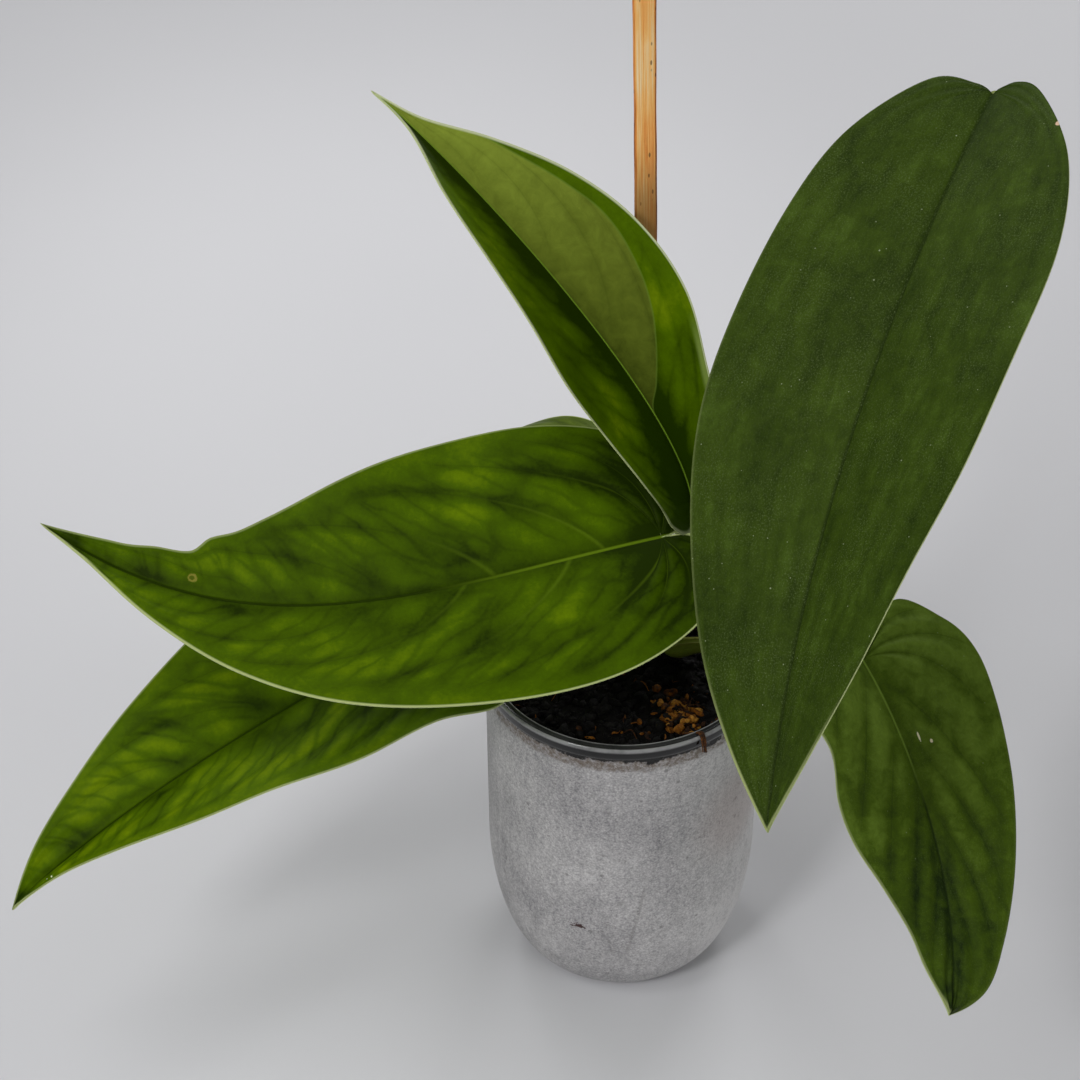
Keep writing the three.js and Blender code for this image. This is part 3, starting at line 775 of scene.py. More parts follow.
def leaf_dust(g, v, look, colour):
    """Pale specks and a fine film of dust."""
    specks = g.larger(g.dots(v.flat, 0.45, 0.09, 0.15), g.dots(v.flat, 0.13, 0.035, 0.3))
    colour = g.mix(specks * look.specks, colour, "#a3ae8a")
    grains = g.noise(v.flat, 2.0, 3.0, 0.8).eased(0.5, 0.72)
    film = g.noise(v.flat, 0.05, 3.0, 0.6).eased(0.35, 0.65, 0.3, 1.0)
    return g.mix(grains * film * look.dust, colour, "#6f8050")


def leaf_mark(g, v, mark, fine, colour):
    """A single spot with a slightly uneven edge."""
    along, across, size, stretch, code = mark
    away = g.away(g.joined((v.along - along) / stretch, v.across - across)) + (fine - 0.5) * size
    return g.mix(away.eased(size, size * 0.7), colour, code)


def leaf_under(letter, look):
    """A paler, duller skin with raised veins and a fine net between them."""
    g = Graph(f"leaf_{letter}_under", Roughness=0.6, Specular_IOR_Level=0.1)
    v = vein_pattern(g)
    fine = g.noise(v.flat, 0.8, 3.0, 0.7)
    streaks = g.noise(v.with_veins, 1.6, 4.0, 0.6, 0.8)
    dull = (streaks * 0.6 + fine * 0.4).eased(0.35, 0.65, 0.55, 0.0)
    colour = g.mix(dull, look.under, look.greens[2])
    raised = g.larger(v.first.eased(0.035, 0.008), v.width.eased(1.6, 0.5))
    colour = g.mix(raised * 0.6, colour, "#a9b886")
    g.colour(g.mix(v.edge.eased(0.75, 0.15), colour, "#b9c48a"))
    net = g.cells(v.flat, 0.28, "DISTANCE_TO_EDGE")
    g.bump(raised * 1.5 + net.eased(0.12, 0.0) * 0.5 + fine * 0.3, 0.0004, 0.6)
    return g.material


def curve_through(points, count=400):
    """A dense centripetal curve through points, as the CAD's stalks and stem follow."""
    knots = np.array(points, float)
    padded = np.concatenate([[2 * knots[0] - knots[1]], knots, [2 * knots[-1] - knots[-2]]])
    line = []
    t = np.linspace(0, 1, count // (len(knots) - 1), endpoint=False)[:, None]
    for p0, p1, p2, p3 in zip(padded, padded[1:], padded[2:], padded[3:]):
        d0, d1, d2 = (np.linalg.norm(b - a) ** 0.5 for a, b in ((p0, p1), (p1, p2), (p2, p3)))
        v1 = ((p1 - p0) / d0 - (p2 - p0) / (d0 + d1) + (p2 - p1) / d1) * d1
        v2 = ((p2 - p1) / d1 - (p3 - p1) / (d1 + d2) + (p3 - p2) / d2) * d1
        line.append(cubic(p1, p2, v1, v2, t))
    return np.concatenate([*line, knots[-1:]])


def tube(line, radius_at, sides, upper_side):
    """Rings round a line. radius_at(share, angles) gives the section. Angle 0 lies towards upper_side."""
    tangents = unit(np.gradient(line, axis=0))
    across = np.array(upper_side, float)
    rings = []
    angles = np.linspace(0, 2 * np.pi, sides, endpoint=False)
    for i, (centre, tangent) in enumerate(zip(line, tangents)):
        across = unit(across - (across @ tangent) * tangent)
        other = np.cross(tangent, across)
        radius = radius_at(i / (len(line) - 1), angles)[:, None]
        rings.append(centre + radius * (np.cos(angles)[:, None] * across + np.sin(angles)[:, None] * other))
    count = len(line)
    points = np.concatenate([*rings, line[:1], line[-1:]])
    faces = []
    for i in range(count - 1):
        for j in range(sides):
            nxt = (j + 1) % sides
            faces.append([i * sides + j, i * sides + nxt, (i + 1) * sides + nxt, (i + 1) * sides + j])
    start, end = count * sides, count * sides + 1
    for j in range(sides):
        nxt = (j + 1) % sides
        faces.append([start, nxt, j])
        faces.append([end, (count - 1) * sides + j, (count - 1) * sides + nxt])
    share = np.repeat(np.arange(count) / (count - 1), sides)
    around = np.tile(angles, count)
    lies = np.stack([share, np.cos(around), np.sin(around)], 1)
    lies = np.concatenate([lies, [[0, 0, 0]], [[1, 0, 0]]])
    return points, faces, lies


def stem_radius(share):
    """The stem tapers and swells at its joints."""
    plain = STEM_RADIUS + (STEM_TIP_RADIUS - STEM_RADIUS) * share
    swell = max(math.exp(-((share - joint) / 0.025) ** 2) for joint in STEM_JOINTS)
    return plain + 0.5 * swell


def stalk_line(leaf):
    """The stalk's path as in the CAD, run on into the blade's rib."""
    axis = spaced(curve_through(STEM_PATH), 400)
    place = round(leaf.joint * 400)
    tangent = unit(axis[min(place + 1, 400)] - axis[place - 1])
    angle = math.radians(leaf.azimuth)
    sideways = np.array([math.cos(angle), math.sin(angle), 0])
    sideways = unit(sideways - (sideways @ tangent) * tangent)
    at_end = leaf.joint == 1
    out = tangent if at_end else sideways
    clear = GAP if at_end else STALK_SEAT + stem_radius(leaf.joint)
    foot = axis[place] + out * clear
    blade = Blade(leaf)
    base = blade.place(np.array([0.0]), np.array([0.0]), 1)[0]
    ahead = blade.place(np.array([0.02 * blade.length]), np.array([0.0]), 1)[0]
    along = unit(ahead - base)
    normal = np.array(leaf.faces[0], float)
    normal = unit(normal - (normal @ along) * along)
    start = [foot - out * 1.2, foot + out * 3]
    end = [base - normal * (BLADE_SEAT + 7), base - normal * 0.9]
    return spaced(curve_through([*start, *leaf.via, *end]), 110), tangent


def stalk_piece(letter, material):
    """A channelled stalk with a winged sheath at its foot and a swollen knee under the blade."""
    leaf = LEAVES[letter]
    line, up = stalk_line(leaf)
    foot, middle, neck = leaf.radii

    def radius_at(share, angles):
        plain = middle + (foot - middle) * math.exp(-(share / 0.16) ** 2)
        plain += (neck - middle) * math.exp(-((1 - share) / 0.12) ** 2)
        fade = 1 - eased(np.array(share), 0.0, 1.0)
        channel = 0.3 * np.exp(-(angles_from(angles, 0) / 0.42) ** 2) * (0.35 + 0.65 * fade)
        wings = sum(np.exp(-(angles_from(angles, turn) / 0.16) ** 2) for turn in (0.62, -0.62))
        sheath = 0.42 * wings * (1 - eased(np.array(share), 0.3, 0.55))
        knee = 0.03 * math.sin(share * 500) * (share > 0.9)
        return plain * (1 - channel + sheath + knee)

    points, faces, lies = tube(line, radius_at, 40, up)
    piece = mesh_piece(f"petiole_{letter}", points, faces, [material], None, {"stalk": lies})
    return settle(piece, "stem", f"stalk_{letter}")


def angles_from(angles, turn):
    """How far each angle is from turn, either way round."""
    return np.abs((angles - turn + np.pi) % (2 * np.pi) - np.pi)


def stem_piece(material):
    """The jointed stem, slightly lumpy and ringed by scars."""
    line = spaced(curve_through(STEM_PATH), 150)

    def radius_at(share, angles):
        lumps = 0.12 * np.sin(3 * angles + 17 * share) + 0.08 * np.sin(5 * angles - 31 * share)
        scars = sum(0.22 * math.exp(-((share - joint - 0.02) / 0.006) ** 2) for joint in STEM_JOINTS)
        return stem_radius(share) + lumps + scars

    points, faces, lies = tube(line, radius_at, 48, (1, 0, 0))
    piece = mesh_piece("stem_axis", points, faces, [material], None, {"stalk": lies})
    return settle(piece, "stem", "stem")


def stalk_material():
    """Green skin with long stripes, and a brown papery rim on the sheath."""
    g = Graph("stem_skin", Specular_IOR_Level=0.45)
    share, up, aside = g.parts(g.attribute("stalk"))
    stripes = g.noise(g.joined(share * 2.0, up * 3.0, aside * 3.0), 3.0, 4.0, 0.65)
    spots = g.noise(g.place(), 900.0, 2.0, 0.6)
    colour = g.ramp(stripes * 0.75 + spots * 0.25, (0.3, "#5a6815"), (0.7, "#8f9c38"))
    rim = up.eased(0.7, 0.8) * up.eased(0.93, 0.85) * share.eased(0.55, 0.3)
    g.colour(g.mix(rim * 0.3, colour, "#a08c55"))
    g.rough(spots.eased(0.3, 0.7, 0.38, 0.5))
    g.bump(stripes + spots * 0.4, 0.0003, 0.5)
    return g.material


def lathe(profile, segments):
    """A profile of radius and height turned about the vertical axis. Points on the axis are shared."""
    points, rings = [], []
    for radius, height in profile:
        if radius < 1e-6:
            rings.append([len(points)] * segments)
            points.append((0, 0, height))
            continue
        rings.append(list(range(len(points), len(points) + segments)))
        for j in range(segments):
            angle = 2 * math.pi * j / segments
            points.append((radius * math.cos(angle), radius * math.sin(angle), height))
    faces, rows = [], []
    for i in range(len(rings) - 1):
        for j in range(segments):
            nxt = (j + 1) % segments
            corners = [rings[i][j], rings[i][nxt], rings[i + 1][nxt], rings[i + 1][j]]
            ring = [c for k, c in enumerate(corners) if c != corners[k - 1]]
            if len(ring) > 2:
                faces.append(ring)
                rows.append(i)
    return np.array(points), faces, rows


def corner(inset, steps):
    """The wall's rounded lower corner, moved inwards by inset."""
    reach = WALL_LOW_RADIUS - FOOT_RADIUS - inset
    rise = CORNER_HEIGHT - inset
    angles = [math.pi / 2 * i / steps for i in range(steps + 1)]
    return [(FOOT_RADIUS + reach * math.sin(a), CORNER_HEIGHT - rise * math.cos(a)) for a in angles]


def pot_piece():
    """The moulded cup: rounded base corner, straight wall and a flat lip with a bead at each edge."""
    lip, bore, top = LIP_RADIUS, LIP_INNER_RADIUS, POT_HEIGHT
    skirt, under = top - LIP_SKIRT, top - 1.8
    wall_out = [(WALL_LOW_RADIUS + (WALL_TOP_RADIUS - WALL_LOW_RADIUS) * i / 12,
                 CORNER_HEIGHT + (under - 0.5 - CORNER_HEIGHT) * i / 12) for i in range(1, 13)]
    outside = [(0, 0.5), (FOOT_RADIUS - 3, 0.3), (FOOT_RADIUS - 2, 0), *corner(0, 24), *wall_out]
    lip_under = [(WALL_TOP_RADIUS + 0.4, under), (lip - 1.0, under - 0.3), (lip - 0.95, skirt + 0.3)]
    bead_out = [(lip - 0.75, skirt), (lip - 0.3, skirt), (lip - 0.05, skirt + 0.4), (lip, skirt + 1.2),
                (lip, top - 1.1), (lip - 0.12, top - 0.45), (lip - 0.4, top - 0.1), (lip - 0.65, top),
                (lip - 0.9, top - 0.12)]
    shelf = [(lip - 1.15, top - 0.4), (bore + 0.95, top - 0.45)]
    bead_in = [(bore + 0.7, top - 0.2), (bore + 0.45, top - 0.08), (bore + 0.15, top - 0.2),
               (bore, top - 0.7)]
    wall_in = [(radius - WALL, height) for radius, height in wall_out[::-1]][1:]
    inside = [*wall_in, *corner(WALL, 24)[::-1], (0, WALL)]
    lip_line = [*lip_under, *bead_out, *shelf, *bead_in]
    points, faces, rows = lathe([*outside, *lip_line, *inside], POT_SEGMENTS)
    start = len(outside) - 1
    kinds = [int(start <= row < start + len(lip_line)) for row in rows]
    piece = mesh_piece("grow_cup", points, faces, [wall_material(), lip_material()], kinds)
    return settle(piece, "pot", "pot")


def root_line(turn, height, wander):
    """A root behind the pot's wall: a faint line that climbs to the right."""
    middle = (height - ROOT_LOW) * ROOT_LEAN + wander * 0.05 + ROOT_TURN
    away = abs(turn - middle) * ROOT_DISTANCE
    ends = height.eased(ROOT_LOW, ROOT_LOW + 4) * height.eased(ROOT_HIGH, ROOT_HIGH - 12)
    return away.eased(0.9, 0.3) * ends * 0.32


def wall_crumb(g, turn, height, ragged):
    """A crumb of mix stuck to the wall."""
    away = g.away(g.joined((turn - CRUMB_TURN) * 14.0, height - CRUMB_HEIGHT))
    return (away + (ragged - 0.5) * 5.5).eased(1.0, 0.6, 0.0, 0.95)


def wall_material():
    """Fogged clear plastic: a grey haze of fine droplets with dark gaps, a dirty line below the lip, a root,
    a crumb and a faint rusty stain behind the wall, painted light towards its right side, and painted shade
    below the lip for the pot's shaded inside."""
    g = Graph("fogged_plastic", IOR=1.46, Specular_IOR_Level=0.25, Coat_Weight=0.08, Coat_Roughness=0.3)
    place = g.place()
    x, y, z = g.parts(place)
    height = z * 1000.0
    turn = g.math("ARCTAN2", x, y * -1.0)
    haze = g.noise(place, 30.0, 4.0, 0.6)
    runs = g.noise(g.joined(x * 1000.0, y * 1000.0, height * 0.2), 0.3, 4.0, 0.65)
    grain = g.noise(place, 1500.0, 2.0, 0.8)
    coarse = g.noise(place, 600.0, 3.0, 0.75)
    droplets = g.cells(place, 1400.0).eased(0.8, 0.1)
    # Painted light: the wall grows lighter towards its right side.
    painted_light_right = x.eased(0.013, 0.04, 0.0, 0.15)
    glow = haze * 0.3 + runs * 0.2 + grain * 0.4 + coarse * 0.35 + droplets * 0.1 + painted_light_right
    colour = g.ramp(glow, (0.43, "#68676b"), (0.62, "#a8a6a7"), (0.83, "#d9d7d6"))
    gaps = g.noise(place, 560.0, 4.0, 0.8).eased(0.57, 0.72, 0.0, 0.5)
    smudges = g.noise(place, 150.0, 3.0, 0.7).eased(0.6, 0.72) * coarse.eased(0.45, 0.6) * 0.5
    flecks = g.dots(place, 260.0, 0.24, 0.14) * 0.5
    colour = g.mix(g.larger(gaps, smudges, flecks), colour, "#6a6766")
    stain = g.away(place, Vector(STAIN_AT) * MM).eased(0.026, 0.008, 0.0, 0.28)
    colour = g.mix(stain, colour, "#9c7a70")
    colour = g.mix(root_line(turn, height, coarse), colour, "#77726f")
    colour = g.mix(wall_crumb(g, turn, height, coarse), colour, "#3a1512")

    ragged = height + (g.noise(place, 420.0, 5.0, 0.75) - 0.5) * 5.0
    dirt = ragged.eased(DIRT_LOW, DIRT_LOW + DIRT_EDGE) * ragged.eased(DIRT_HIGH, DIRT_HIGH - DIRT_EDGE)
    colour = g.mix(dirt * coarse.eased(0.35, 0.6, 0.2, 0.85), colour, "#665747")
    # Painted shade: the wall turns near-black below the lip, for the pot's shaded inside seen through the
    # clear plastic.
    blobs = g.noise(place, 110.0, 3.0, 0.6).eased(0.5, 0.65) * 1.8
    g.colour(g.mix((ragged + blobs).eased(PAINTED_SHADE_FROM, PAINTED_SHADE_FROM + 0.7, 0.0, 0.97), colour, "#0b0a0a"))
    g.rough(coarse.eased(0.3, 0.7, 0.45, 0.6))
    g.bump(coarse * 0.6 + grain * 0.6, 0.0002, 0.5)
    return g.material


def lip_material():
    """Clear plastic: a glossy dark grey band, with a painted highlight along each of its beads and painted
    shade under the lip.
    """
    g = Graph("clear_lip", Roughness=0.12, IOR=1.45, Specular_IOR_Level=0.35, Coat_Weight=0.3,
              Coat_Roughness=0.05)
    place = g.place()
    x, y, z = g.parts(place)
    radius = g.math("SQRT", x * x + y * y) * 1000.0
    smears = g.noise(place, 90.0, 4.0, 0.65)
    scratches = g.noise(g.joined(radius * 4.0, g.math("ARCTAN2", y, x)), 2.0, 4.0, 0.7)
    colour = g.ramp(smears * 0.6 + scratches * 0.4, (0.35, "#202021"), (0.65, "#3c3c3d"))
    # Painted highlight: a bright line along the outer and the inner bead.
    outer = radius.eased(LIP_RADIUS - 0.75, LIP_RADIUS - 0.45)
    inner = radius.eased(LIP_INNER_RADIUS + 0.7, LIP_INNER_RADIUS + 0.4)
    colour = g.mix(g.larger(outer, inner) * smears.eased(0.3, 0.6, 0.45, 0.9), colour, "#a6a6a6")
    # Painted shade: near-black under the lip and on its skirt.
    below = z.eased((POT_HEIGHT - 0.6) * MM, (POT_HEIGHT - 1.6) * MM)
    g.colour(g.mix(below, colour, "#0d0c0c"))
    g.bump(smears, 0.0003, 0.25)
    return g.material


def mix_height(x, y):
    """Height of the potting mix at a place, in millimetres."""
    radius = math.hypot(x, y)
    dome = MIX_DOME * (1 - min(1.0, radius / MIX_EDGE) ** 2)
    place = Vector((x, y, 3.0))
    rough = 1.5 * noise.noise(place * 0.11) + 0.9 * noise.noise(place * 0.33) + 0.4 * noise.noise(place * 0.9)
    return MIX_LEVEL + dome - 0.8 + rough * min(1.0, (MIX_EDGE - radius) / 2 + 0.3)


def mix_piece():
    """The pot's filling, with a lumpy, slightly domed top."""
    side = WALL + GAP
    top = [(MIX_EDGE * (1 - i / MIX_RINGS), 0.0) for i in range(MIX_RINGS + 1)]
    profile = [(0, side), *corner(side, 12), (MIX_EDGE, MIX_LEVEL - 2.0), *top]
    points, faces, _ = lathe(profile, MIX_SEGMENTS)
    for point in points[len(points) - MIX_RINGS * MIX_SEGMENTS - 1:]:
        point[2] = mix_height(point[0], point[1])
    piece = mesh_piece("mix_bed", points, faces, [mix_material()])
    return settle(piece, "potting_mix", "potting_mix")


def mix_material():
    """Near-black, matt lumps."""
    g = Graph("mix_bed", Specular_IOR_Level=0.25)
    place = g.place()
    lumps = g.noise(place, 260.0, 5.0, 0.7)
    fine = g.noise(place, 1400.0, 3.0, 0.7)
    g.colour(g.ramp(lumps * 0.7 + fine * 0.3, (0.38, "#030201"), (0.6, "#0a0604"), (0.78, "#24150a")))
    g.rough(fine.eased(0.3, 0.7, 0.8, 0.98))
    g.bump(lumps + fine * 0.5, 0.0012, 0.9)
    return g.material


def crumb_material():
    """Bits of bark and moss: each bit has its own tone, from near black to rust."""
    g = Graph("mix_bits", Specular_IOR_Level=0.3)
    tone = g.parts(g.attribute("tone"))[0]
    fine = g.noise(g.place(), 900.0, 4.0, 0.7)
    tones = ((0.0, "#030202"), (0.5, "#0c0805"), (0.7, "#3b200a"), (0.85, "#96590f"), (1.0, "#dca040"))
    g.colour(g.ramp(tone + (fine - 0.5) * 0.45, *tones))
    g.rough(fine.eased(0.3, 0.7, 0.65, 0.95))
    g.bump(g.noise(g.place(), 1800.0, 3.0, 0.7), 0.0008, 0.7)
    return g.material


def lump():
    """Corner directions and faces of a ball: an icosahedron with each face cut in four."""
    golden = (1 + 5 ** 0.5) / 2
    corners = [(-1, golden, 0), (1, golden, 0), (-1, -golden, 0), (1, -golden, 0), (0, -1, golden),
               (0, 1, golden), (0, -1, -golden), (0, 1, -golden), (golden, 0, -1), (golden, 0, 1),
               (-golden, 0, -1), (-golden, 0, 1)]
    faces = [(0, 11, 5), (0, 5, 1), (0, 1, 7), (0, 7, 10), (0, 10, 11), (1, 5, 9), (5, 11, 4), (11, 10, 2),
             (10, 7, 6), (7, 1, 8), (3, 9, 4), (3, 4, 2), (3, 2, 6), (3, 6, 8), (3, 8, 9), (4, 9, 5),
             (2, 4, 11), (6, 2, 10), (8, 6, 7), (9, 8, 1)]
    points = [np.array(c) / np.linalg.norm(c) for c in corners]
    middle, cut = {}, []
    for a, b, c in faces:
        ends = []
        for p, q in ((a, b), (b, c), (c, a)):
            key = (min(p, q), max(p, q))
            if key not in middle:
                middle[key] = len(points)
                points.append(unit(points[p] + points[q]))
            ends.append(middle[key])
        ab, bc, ca = ends
        cut += [(a, ab, ca), (b, bc, ab), (c, ca, bc), (ab, bc, ca)]
    return np.array(points), cut


class Bits:
    """Many small solids gathered into one piece."""

    def __init__(self, rng):
        self.rng = rng
        self.points, self.faces, self.tones, self.count = [], [], [], 0
        self.ball = lump()

    def add(self, points, faces, tone):
        self.points.append(points)
        self.faces += [[i + self.count for i in face] for face in faces]
        self.tones += [tone] * len(points)
        self.count += len(points)

    def crumb(self, at, size, tone):
        """A rough lump: size gives its half-widths."""
        rng = self.rng
        directions, faces = self.ball
        bumps = np.array([1 + 0.35 * noise.noise(Vector(d * 1.7) + Vector((self.count, 0, 0)) * 0.013) +
                          rng.uniform(-0.12, 0.12) for d in directions])
        angle = rng.uniform(0, 6.28)
        axis = Vector((rng.random(), rng.random(), rng.random()))
        turn = np.array(Matrix.Rotation(angle, 3, axis))
        points = (directions * bumps[:, None] * np.array(size)) @ turn.T + np.array(at)
        self.add(points, faces, tone)

    def strand(self, knots, radius, tone):
        """A thin fibre through knots, tapering to both ends."""
        line = spaced(curve_through(knots, 60), 16)

        def radius_at(share, angles):
            swell = math.sin(math.pi * min(max(share, 0.08), 0.92))
            return np.full(len(angles), radius * (0.3 + 0.7 * swell))

        points, faces, _ = tube(line, radius_at, 5, (0.3, 0.2, 1))
        self.add(points, faces, tone)

    def flake(self, at, length, width, turn, tone):
        """A curled scrap of moss or leaf litter."""
        rng = self.rng
        curl = rng.uniform(0.3, 1.1)
        rows = []
        for i in range(7):
            along = (i / 6 - 0.5) * length
            wide = width * math.sin(math.pi * (0.12 + 0.76 * i / 6)) * rng.uniform(0.7, 1.1)
            for side in (-1, -0.4, 0.4, 1):
                lift = curl * width * side * side * 0.5 + 0.4 * width * math.sin(i * 1.3 + curl * 9)
                rows.append((along, side * wide, lift))
        sheet = np.array(rows)
        points = np.concatenate([sheet, sheet - np.array([0, 0, 0.25])]) @ np.array(turn).T + np.array(at)
        faces = []
        for i in range(6):
            for j in range(3):
                a = i * 4 + j
                faces += [[a, a + 4, a + 5, a + 1], [a + 28, a + 29, a + 33, a + 32]]
        edge = [0, 1, 2, 3, 7, 11, 15, 19, 23, 27, 26, 25, 24, 20, 16, 12, 8, 4]
        faces += [[a, b, b + 28, a + 28] for a, b in zip(edge, edge[1:] + edge[:1])]
        self.add(points, faces, tone)

    def piece(self, name, material):
        tones = np.array([(tone, 0, 0) for tone in self.tones])
        return mesh_piece(name, np.concatenate(self.points), self.faces, [material], None, {"tone": tones})


def clear_of_stems(x, y, room):
    """Whether a place on the mix is clear of the stem and of the cane."""
    stem_x, stem_y = STEM_PATH[0][:2]
    cane_x, cane_y = CANE_AT_MIX
    by_stem = math.hypot(x - stem_x, y - stem_y) <= STEM_RADIUS + 0.3 + room
    beside_cane = abs(x - cane_x) >= CANE_WIDTH / 2 + 0.2 + room
    before_or_behind_cane = abs(y - cane_y) >= CANE_THICKNESS / 2 + 0.5 + room
    return not by_stem and (beside_cane or before_or_behind_cane)


def random_turn(rng):
    """Any heading, and a tilt of up to 0.9 radians."""
    return Matrix.Rotation(rng.uniform(0, 6.28), 3, "Z") @ Matrix.Rotation(rng.uniform(-0.9, 0.9), 3, "X")


def random_spot(rng, edge):
    """A place on the mix's top, within edge of its middle."""
    radius = edge * math.sqrt(rng.random())
    angle = rng.uniform(0, 2 * math.pi)
    return radius * math.cos(angle), radius * math.sin(angle)


def crumbs_piece(material):
    rng = random.Random(SEED)
    bits = Bits(rng)
    while bits.count < CRUMBS * len(bits.ball[0]):
        x, y = random_spot(rng, MIX_EDGE - 1.5)
        size = 0.45 + 1.5 * rng.random() ** 2.5
        if not clear_of_stems(x, y, size):
            continue
        tone = 0.1 + 0.38 * rng.random() if rng.random() < 0.975 else rng.uniform(0.6, 0.88)
        shape = (size * rng.uniform(0.8, 1.7), size * rng.uniform(0.7, 1.1), size * rng.uniform(0.4, 0.9))
        bits.crumb((x, y, mix_height(x, y) + 0.25 * size), shape, tone)
    return settle(bits.piece("mix_crumbs", material), "potting_mix")


def add_clump(bits, rng):
    """The tangled moss by the lip: lumps, scraps and fibres."""
    cx, cy, cz = CLUMP_AT
    for _ in range(150):
        sideways, forth = rng.gauss(0, 2.7), rng.gauss(0, 4.6)
        at = (cx + sideways - 0.3 * forth, cy + forth, cz + rng.uniform(-1.5, 1.8))
        size = rng.uniform(0.5, 1.5)
        shape = (size * rng.uniform(0.9, 1.6), size, size * rng.uniform(0.5, 1.0))
        bits.crumb(at, shape, rng.choice((0.3, 0.55, 0.72, 0.8, 0.88, 0.95)) + rng.uniform(-0.05, 0.05))
    for _ in range(40):
        at = (cx + rng.gauss(0, 3.0), cy + rng.gauss(0, 4.0), cz + rng.uniform(-0.5, 2.2))
        length, width = rng.uniform(2.0, 4.5), rng.uniform(0.7, 1.5)
        bits.flake(at, length, width, random_turn(rng), rng.uniform(0.45, 0.92))
    for _ in range(16):
        at = np.array((cx + rng.gauss(0, 3.0), cy + rng.gauss(0, 4.0), cz + rng.uniform(-1.0, 1.0)))
        heading = rng.uniform(0, 6.28)
        step = np.array([math.cos(heading), math.sin(heading), rng.uniform(-0.2, 0.7)])
        bend = np.array([-step[1], step[0], rng.uniform(-0.6, 0.6)]) * rng.uniform(-0.8, 0.8)
        reach = rng.uniform(1.2, 2.6)
        steps = (step * 0, step, step * 2 + bend, step * 2.4 + bend * 2.2)
        knots = [at + onward * reach for onward in steps]
        bits.strand(knots, rng.uniform(0.15, 0.32), rng.uniform(0.7, 0.9))


def add_loose_litter(bits, rng):
    """Scraps and fibres strewn over the mix."""
    for _ in range(60):
        x, y = random_spot(rng, MIX_EDGE - 4)
        if not clear_of_stems(x, y, 4):
            continue
        at = (x, y, mix_height(x, y) + 0.8)
        if rng.random() < 0.5:
            length, width = rng.uniform(1.5, 4.5), rng.uniform(0.4, 1.0)
            bits.flake(at, length, width, random_turn(rng), rng.uniform(0.6, 0.9))
            continue
        far = (x + rng.uniform(-6, 6), y + rng.uniform(-6, 6))
        if math.hypot(*far) < MIX_EDGE - 2 and clear_of_stems(*far, 1):
            half = ((x + far[0]) / 2 + rng.uniform(-1.5, 1.5), (y + far[1]) / 2 + rng.uniform(-1.5, 1.5))
            knots = [at, (*half, mix_height(*half) + 1.6), (*far, mix_height(*far) + 0.7)]
            bits.strand(knots, rng.uniform(0.12, 0.25), rng.uniform(0.6, 0.85))


def litter_piece(material):
    """Rusty moss: a clump by the lip, loose bits and a dry strand that hangs over the lip."""
    rng = random.Random(SEED + 1)
    bits = Bits(rng)
    add_clump(bits, rng)
    add_loose_litter(bits, rng)
    for shift in (0.0, 0.55, -0.5, 0.2):
        knots = [(x + shift, y + shift * rng.uniform(-0.5, 0.5), z + abs(shift) * 0.3) for x, y, z in STRAND]
        bits.strand(knots, STRAND_RADIUS, 0.68 + 0.1 * rng.random())
    return settle(bits.piece("moss_litter", material), "potting_mix")


def cane_piece():
    """A split bamboo stake: slightly uneven edges, fine ridges along its faces and a rough-sawn end."""
    foot, top = np.array(CANE_FOOT), np.array(CANE_TOP)
    line = foot + (top - foot) * np.linspace(0, 1, 150)[:, None]
    squareness = 5.0

    def radius_at(share, angles):
        across = np.abs(np.sin(angles)) / (CANE_WIDTH / 2)
        deep = np.abs(np.cos(angles)) / (CANE_THICKNESS / 2)
        box = (across ** squareness + deep ** squareness) ** (-1 / squareness)
        ridges = 0.035 * np.sin(23 * angles + 3 * share) + 0.025 * np.sin(41 * angles + 1.7)
        wander = 0.05 * math.sin(37 * share) + 0.04 * math.sin(91 * share + 1)
        return box - 0.06 + ridges + wander * np.abs(np.sin(angles))

    points, faces, _ = tube(line, radius_at, 96, (0, -1, 0))
    piece = mesh_piece("cane_slat", points, faces, [cane_material()])
    return settle(piece, "cane", "cane")


def cane_material():
    """Split bamboo: amber with fine dark and pale fibres along it, and grey where it has weathered."""
    g = Graph("split_bamboo", Specular_IOR_Level=0.2)
    place = g.place()
    x, y, z = g.parts(place)
    upright = x + z * CANE_LEAN
    drawn = g.joined(upright * 1000.0, y * 1000.0, z * 14.0)
    fibres = g.noise(drawn, 1.9, 5.0, 0.8)
    bundles = g.noise(drawn, 0.7, 3.0, 0.6)
    patches = g.noise(place, 30.0, 3.0, 0.6)
    edge = abs(upright - CANE_START * MM).eased(0.0022, 0.0032, 0.0, -0.12)
    glow = fibres * 0.65 + bundles * 0.3 + patches * 0.15 + edge
    colour = g.ramp(glow, (0.36, "#6b3308"), (0.45, "#ef9240"), (0.57, "#ffc674"), (0.7, "#ffeec4"))
    pits = g.dots(g.joined(x, y, z * 0.35), 900.0, 0.3, 0.12)
    colour = g.mix(pits * 0.75, colour, "#4a2a10")
    grey = z.eased(SOUND_ABOVE * MM, WEATHERED_BELOW * MM) * fibres.eased(0.3, 0.6, 0.65, 1.0) * 0.8
    g.colour(g.mix(grey, colour, g.mix(fibres.eased(0.35, 0.65), "#2c170a", "#a1713f")))
    g.rough(fibres.eased(0.3, 0.7, 0.5, 0.72))
    g.bump(fibres + bundles * 0.5, 0.0004, 0.6)
    return g.material


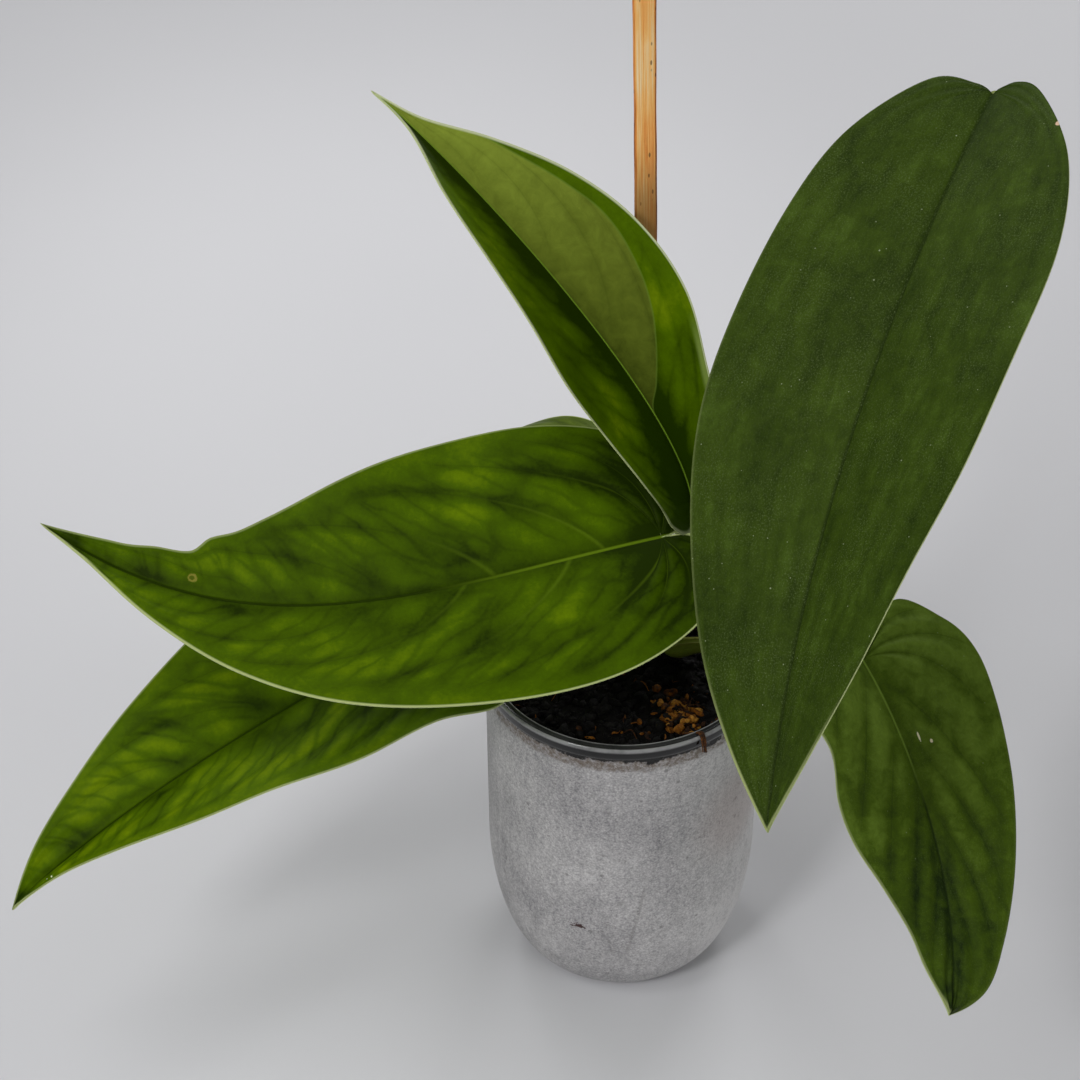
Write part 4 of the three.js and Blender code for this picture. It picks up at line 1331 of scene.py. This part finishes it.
def floor():
    """Plain pale paper."""
    mesh = bpy.data.meshes.new("paper_floor")
    corners = [(x * FLOOR_REACH, y * FLOOR_REACH, 0) for x, y in ((-1, -1), (1, -1), (1, 1), (-1, 1))]
    mesh.from_pydata(corners, [], [(0, 1, 2, 3)])
    g = Graph("pale_paper", Specular_IOR_Level=0.2)
    soft = g.noise(g.place(), 3.0, 3.0, 0.5)
    g.colour(g.ramp(soft, (0.3, "#cfcfd2"), (0.7, "#d2d2d5")))
    g.rough(soft.eased(0.3, 0.7, 0.62, 0.7))
    mesh.materials.append(g.material)
    paper = bpy.data.objects.new("paper_floor", mesh)
    bpy.context.scene.collection.objects.link(paper)


def lamp(name, kind, place, target, watts, **settings):
    """A light that looks at target."""
    data = bpy.data.lights.new(name, kind)
    data.energy = watts
    for key, value in settings.items():
        setattr(data, key, value)
    light = bpy.data.objects.new(name, data)
    light.location = place
    light.rotation_euler = (Vector(target) - Vector(place)).to_track_quat("-Z", "Y").to_euler()
    bpy.context.scene.collection.objects.link(light)


def studio():
    """Soft boxes all round, a soft pool of light on the paper behind the plant, and a dim room."""
    for name, (place, size, watts) in SOFTBOXES.items():
        lamp(name, "AREA", place, LIGHT_AIM, watts, shape="SQUARE", size=size)
    lamp("backdrop_spot", "SPOT", (-0.5, 1.2, 1.2), (-0.1, 0.33, 0), 20.0, spot_size=0.4, spot_blend=1.0,
         shadow_soft_size=0.1)
    world = bpy.data.worlds.new("dim_room")
    world.use_nodes = True
    background = world.node_tree.nodes["Background"].inputs
    background["Color"].default_value = (0.93, 0.95, 1.0, 1)
    background["Strength"].default_value = ROOM_LIGHT
    bpy.context.scene.world = world
    bpy.context.scene.view_settings.view_transform = "Standard"


def camera():
    """The photo's camera: it looks north and down, and leans a little."""
    pitch, roll = math.radians(CAMERA_PITCH), math.radians(CAMERA_ROLL)
    ahead = Vector((0, math.cos(pitch), -math.sin(pitch)))
    level, up = Vector((1, 0, 0)), Vector((0, math.sin(pitch), math.cos(pitch)))
    right = math.cos(roll) * level + math.sin(roll) * up
    top = -math.sin(roll) * level + math.cos(roll) * up
    data = bpy.data.cameras.new("photo_camera")
    data.sensor_width = SENSOR
    data.lens = CAMERA_LENS
    data.clip_start = 0.01
    made = bpy.data.objects.new("photo_camera", data)
    turn = Matrix((right, top, -ahead)).transposed().to_4x4()
    made.matrix_world = Matrix.Translation(CAMERA_PLACE) @ turn
    bpy.context.scene.collection.objects.link(made)
    bpy.context.scene.camera = made


camera()
studio()
floor()
pot_piece()
mix_piece()
bits_material = crumb_material()
crumbs_piece(bits_material)
litter_piece(bits_material)
cane_piece()
green_stem = stalk_material()
stem_piece(green_stem)
for letter in LEAVES:
    stalk_piece(letter, green_stem)
    leaf_piece(letter)
